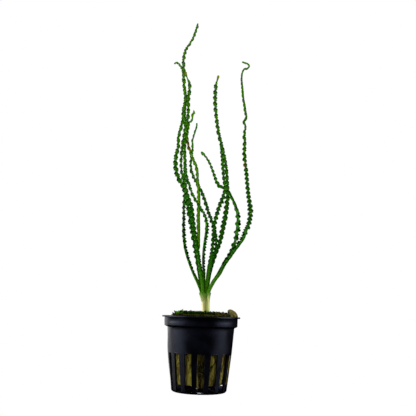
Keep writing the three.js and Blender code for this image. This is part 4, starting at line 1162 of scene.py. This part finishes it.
def leaf_surface(name, seed, wave_scale, swing_scale):
    """A crisped leaf. Each half of its section turns about the midrib by an angle of
    fold + swing x sin(phase), more so the nearer to the edge, and the phase grows by a full turn in each
    wave, so the edges rise and fall as the leaf is followed up. The teeth of the edges lean back towards the
    base. Where the leaf is turned aside, its near half is calmer. The section is then turned, and scaled and
    shifted so that the width seen from the front is the route's."""
    s, middle, half, height = leaf_line(LEAVES[name]["route"])
    habit = np.array(LEAVES[name]["habit"], float)
    turn, fold, swing, wave = (np.interp(height, habit[:, 0], habit[:, k]) for k in range(1, 5))
    turn, fold, swing = np.radians(turn), np.radians(fold), np.radians(swing) * swing_scale
    ds = s[1] - s[0]
    phase = np.cumsum(2 * np.pi * ds / (wave * wave_scale * (1 + 0.1 * sway(s, 11, seed))))
    size = 1 + 0.16 * sway(s, 7, seed + 1)

    forward = unit(np.gradient(middle, axis=0))
    facing = np.stack([np.sin(turn), -np.cos(turn), 0 * turn], 1)
    front = unit(facing - forward * (facing * forward).sum(1, keepdims=True))
    side = np.cross(forward, front)
    seen = unit(np.cross(forward, EYE - middle))

    flat, thick = section_shape(half, smooth(THIN_FROM, THICK_TO, height)[:, None])
    end = np.minimum(1, np.minimum((s[-1] - s) / (0.8 * half[-1] + 0.1), s / 0.6))
    closing = np.sqrt(np.clip(1 - (1 - end) ** 2, 0, 1))[:, None]
    bend = smooth(0.12, 1.0, np.abs(flat))
    margin = smooth(0.42, 1.0, np.abs(flat))
    lag = np.where(flat > 0, 0.5, -0.5) * (1 + 1.6 * sway(s, 16, seed + 2))[:, None]
    beat = np.sin(phase[:, None] + lag - 0.3 * bend)
    near = flat[None] * turn[:, None] < 0
    calm = 1 - 0.85 * near * smooth(np.radians(20), np.radians(50), np.abs(turn))[:, None]
    beta = fold[:, None] * (0.35 + 0.65 * bend) + (swing * size)[:, None] * calm * beat * margin
    reach = np.abs(flat) * half[:, None]

    def section(scale):
        """The offsets of every section's points from the middle line, its width times a scale."""
        out = np.sign(flat) * (reach * scale * np.cos(beta) - thick * np.sin(beta))
        lifted = reach * scale * np.sin(beta) + thick * np.cos(beta)
        return side[:, None] * (out * closing)[..., None] + front[:, None] * (lifted * closing)[..., None]

    window = int(np.median(wave) / ds / 2)
    offset = section(width_scale(section, seen, half, window))
    across = (offset * seen[:, None]).sum(-1)
    shift = closing * spread_mean((across.max(1) + across.min(1)) / 2, 2 * window)[:, None]
    lean = closing * (TOOTH_LEAN * half * np.minimum(1, swing / 0.6))[:, None] * margin ** 2
    points = middle[:, None] + offset - (seen * shift)[:, None] - forward[:, None] * lean[..., None]
    points[0], points[-1] = points[0].mean(0), points[-1].mean(0)
    marks = {"across": np.abs(flat) + 0 * beat, "lift": beat * margin, "brown": 0 * beat, "yellow": 0 * beat}
    for leaf, place, half_length, which, kind in WORN:
        if leaf == name:
            on_side = smooth(-0.2, 0.5, flat * which) if which else 1
            marks[kind] = marks[kind] + bell(height - place, half_length)[:, None] * on_side
    return points, marks


def add_leaf(name, seed, wave_scale, swing_scale, material, slot):
    """One leaf as a closed surface, from its base inside the neck to its tip."""
    points, marks = leaf_surface(name, seed, wave_scale, swing_scale)
    leaf = add_surface(name.replace("leaf_", "crisped_leaf_"), points, marks)
    return dress(leaf, material, slot, name)


# Stage


def add_backdrop():
    """A white floor disc and a white dome round the scene. They shine for the camera alone, so that the
    background is as even as a lit studio sweep and the black pot mirrors none of it."""
    white = bpy.data.materials.new("lit white sweep")
    white.use_nodes = True
    tree = white.node_tree
    tree.nodes.remove(tree.nodes["Principled BSDF"])
    glow = add(tree, "ShaderNodeEmission", [(0, linear("#ffffff")), (1, 1.0)])
    tree.links.new(glow.outputs[0], tree.nodes["Material Output"].inputs[0])
    turn, share = np.meshgrid(turns(64), np.linspace(0, 1, 5))
    disc = polar(turn, FLOOR_DISC_RADIUS * share, -FLOOR_DISC_DEPTH)
    turn, tilt = np.meshgrid(turns(64), np.linspace(0, np.pi, 33))
    dome = DOME_RADIUS * polar(turn, np.sin(tilt), np.cos(tilt))
    for name, grid in (("floor", disc), ("backdrop", dome)):
        thing = add_mesh(name, grid.reshape(-1, 3), grid_faces(*grid.shape[:2]))
        thing.data.materials.append(white)
        for ray in ("diffuse", "glossy", "transmission", "volume_scatter", "shadow"):
            setattr(thing, f"visible_{ray}", False)


def add_lamps():
    """Soft square lamps round the plant, each aimed at the plant's axis and unseen by the camera."""
    for name, bearing, height, distance, aim, wide, tall, power in LAMPS:
        lamp = bpy.data.lights.new(name, "AREA")
        lamp.shape = "RECTANGLE"
        lamp.size, lamp.size_y = wide * MM, tall * MM
        lamp.energy = power
        thing = bpy.data.objects.new(name, lamp)
        bpy.context.scene.collection.objects.link(thing)
        place = polar(np.radians(bearing - 90), distance, height)
        back = unit(place - (0, 0, aim))
        across = unit(np.cross((0, 0, 1), back))
        matrix = np.eye(4)
        matrix[:3] = np.stack([across, np.cross(back, across), back, place * MM], 1)
        thing.matrix_world = Matrix(matrix.tolist())
        thing.visible_camera = False


def add_camera(scene):
    """The camera at the photograph's eye point, pitched up and rolled as it was."""
    camera = bpy.data.cameras.new("camera")
    camera.lens = LENS_MM
    camera.sensor_width = SENSOR_MM
    camera.clip_start, camera.clip_end = 0.01, 50.0
    thing = bpy.data.objects.new("camera", camera)
    scene.collection.objects.link(thing)
    pitch = Matrix.Rotation(np.radians(90 + PITCH_DEG), 4, "X")
    roll = Matrix.Rotation(np.radians(ROLL_DEG), 4, "Z")
    thing.matrix_world = Matrix.Translation((EYE * MM).tolist()) @ pitch @ roll
    scene.camera = thing


# Settings


def colour_setting(name, description, code):
    """A colour that a user can change, from its hex default."""
    return bpy.props.FloatVectorProperty(
        name=name, description=description, subtype="COLOR", size=4, min=0, max=1, default=linear(code))


class PotSettings(bpy.types.PropertyGroup):
    """The sizes and the colour of the pot."""

    height: bpy.props.FloatProperty(
        name="Height", description="Height of the pot to the top of its rim", unit="LENGTH",
        default=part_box("pot")[1].z)
    rim_radius: bpy.props.FloatProperty(
        name="Rim radius", description="Radius of the flat rim", unit="LENGTH", default=RIM_RADIUS * MM)
    colour: colour_setting("Plastic", "Colour of the moulded plastic", "#020203")


class MediumSettings(bpy.types.PropertyGroup):
    """The mineral wool and the moss."""

    fibres: bpy.props.IntProperty(
        name="Fibres", description="Loose fibres on the side of the wool", default=3000, min=0, max=5000)
    sprigs: bpy.props.IntProperty(
        name="Moss sprigs", description="Short sprigs of moss", default=1000, min=1, max=1100)
    leaflets: bpy.props.IntProperty(
        name="Leaflets", description="Leaflets on each sprig of moss", default=20, min=4, max=22)
    wool: colour_setting("Wool", "Colour of the stained wool", "#8c8234")
    # This colour is the painted shade in the wool's folds, creases and hollows.
    painted_shade: colour_setting("Wool in the folds", "Colour of the wool in its folds", "#1c1604")


class PlantSettings(bpy.types.PropertyGroup):
    """The leaves."""

    wave_scale: bpy.props.FloatProperty(
        name="Wave length", description="Length of the crisped waves, against the real leaf's", default=1.0,
        min=0.5, max=3)
    swing_scale: bpy.props.FloatProperty(
        name="Crispness", description="Swing of the crisped edges, against the real leaf's", default=1.0,
        min=0, max=1.5)
    middle: colour_setting("Midrib", "Colour along a leaf's middle", "#276c06")
    # The edge colour is painted shade at the teeth of the crisped edges.
    edge: colour_setting("Edge", "Colour of a leaf's crisped edges", "#083402")
    # The flecks are a painted highlight where an edge rises to the light.
    painted_highlight: colour_setting("Flecks", "Colour where an edge turns to the light", "#468a08")


# Operators


class CRINUM_OT_pot(bpy.types.Operator):
    """Build the slotted pot"""

    bl_idname = "crinum.pot"
    bl_label = "Pot"

    def execute(self, context):
        settings = context.scene.crinum_pot
        add_pot(settings.height / MM, settings.rim_radius / MM, moulded_polypropylene(tuple(settings.colour)))
        return {"FINISHED"}


class CRINUM_OT_medium(bpy.types.Operator):
    """Build the mineral wool, its fibres and its torn flap"""

    bl_idname = "crinum.medium"
    bl_label = "Mineral wool"

    def execute(self, context):
        settings = context.scene.crinum_medium
        wool = spun_mineral_wool("wet stained mineral wool", tuple(settings.wool), tuple(settings.painted_shade))
        add_wool(wool)
        add_wool_fibres(settings.fibres, wool)
        # The flap's second colour is its painted shade.
        add_flap(spun_mineral_wool("darker torn mineral wool", linear("#46441a"), linear("#100e04")))
        return {"FINISHED"}


class CRINUM_OT_moss(bpy.types.Operator):
    """Build the moss"""

    bl_idname = "crinum.moss"
    bl_label = "Moss"

    def execute(self, context):
        settings = context.scene.crinum_medium
        add_moss(settings.sprigs, settings.leaflets, growing_moss())
        return {"FINISHED"}


class CRINUM_OT_neck(bpy.types.Operator):
    """Build the neck of blanched leaf bases"""

    bl_idname = "crinum.neck"
    bl_label = "Neck"

    def execute(self, context):
        add_neck(grown_sheath())
        return {"FINISHED"}


class CRINUM_OT_leaves(bpy.types.Operator):
    """Build the ten crisped leaves"""

    bl_idname = "crinum.leaves"
    bl_label = "Leaves"

    def execute(self, context):
        settings = context.scene.crinum_plant
        # For both leaf materials, the second colour is painted shade at the teeth, and the third a painted
        # highlight where an edge rises to the light.
        colours = (tuple(colour) for colour in (settings.middle, settings.edge, settings.painted_highlight))
        young_colours = (linear(code) for code in ("#569008", "#2c6204", "#74a40e"))
        # The last colour of each leaf material is the painted light towards the top.
        green = grown_leaf("crisped leaf tissue", *colours, linear("#487e02"))
        young = grown_leaf("young yellow-green leaf tissue", *young_colours, linear("#487e02"))
        for k, name in enumerate(LEAVES):
            bright = name == "leaf_bright"
            add_leaf(name, 100 + 10 * k, settings.wave_scale, settings.swing_scale,
                     young if bright else green, "young_leaf" if bright else "leaf")
        return {"FINISHED"}


class CRINUM_OT_stage(bpy.types.Operator):
    """Set the white floor and backdrop, the lamps and the camera"""

    bl_idname = "crinum.stage"
    bl_label = "Stage"

    def execute(self, context):
        scene = context.scene
        scene.view_settings.view_transform = "Standard"
        world = bpy.data.worlds.new("dark studio")
        world.use_nodes = True
        world.node_tree.nodes["Background"].inputs[0].default_value = (0, 0, 0, 1)
        scene.world = world
        add_backdrop()
        add_lamps()
        add_camera(scene)
        return {"FINISHED"}


class CRINUM_PT_panel(bpy.types.Panel):
    """The sidebar panel that lists the pieces and their settings"""

    bl_idname = "CRINUM_PT_panel"
    bl_label = "Potted crinum"
    bl_space_type = "VIEW_3D"
    bl_region_type = "UI"
    bl_category = "Crinum"

    def draw(self, context):
        scene = context.scene
        for settings, names, operators in (
            (scene.crinum_pot, ("height", "rim_radius", "colour"), (CRINUM_OT_pot,)),
            (scene.crinum_medium, ("fibres", "sprigs", "leaflets", "wool", "painted_shade"),
             (CRINUM_OT_medium, CRINUM_OT_moss)),
            (scene.crinum_plant, ("wave_scale", "swing_scale", "middle", "edge", "painted_highlight"),
             (CRINUM_OT_neck, CRINUM_OT_leaves)),
        ):
            box = self.layout.box()
            for name in names:
                box.prop(settings, name)
            for operator in operators:
                box.operator(operator.bl_idname)
        self.layout.operator(CRINUM_OT_stage.bl_idname)


CLASSES = (PotSettings, MediumSettings, PlantSettings, CRINUM_OT_pot, CRINUM_OT_medium, CRINUM_OT_moss,
           CRINUM_OT_neck, CRINUM_OT_leaves, CRINUM_OT_stage, CRINUM_PT_panel)


SETTINGS = {"crinum_pot": PotSettings, "crinum_medium": MediumSettings, "crinum_plant": PlantSettings}


def register():
    """Registers the classes, and gives each scene its settings."""
    for item in CLASSES:
        bpy.utils.register_class(item)
    for name, group in SETTINGS.items():
        setattr(bpy.types.Scene, name, bpy.props.PointerProperty(type=group))


def unregister():
    """Takes the settings and the classes away again."""
    for name in SETTINGS:
        delattr(bpy.types.Scene, name)
    for item in reversed(CLASSES):
        bpy.utils.unregister_class(item)


def main():
    register()
    bpy.ops.crinum.stage()
    bpy.ops.crinum.pot()
    bpy.ops.crinum.medium()
    bpy.ops.crinum.moss()
    bpy.ops.crinum.neck()
    bpy.ops.crinum.leaves()


if __name__ == "__main__":
    main()
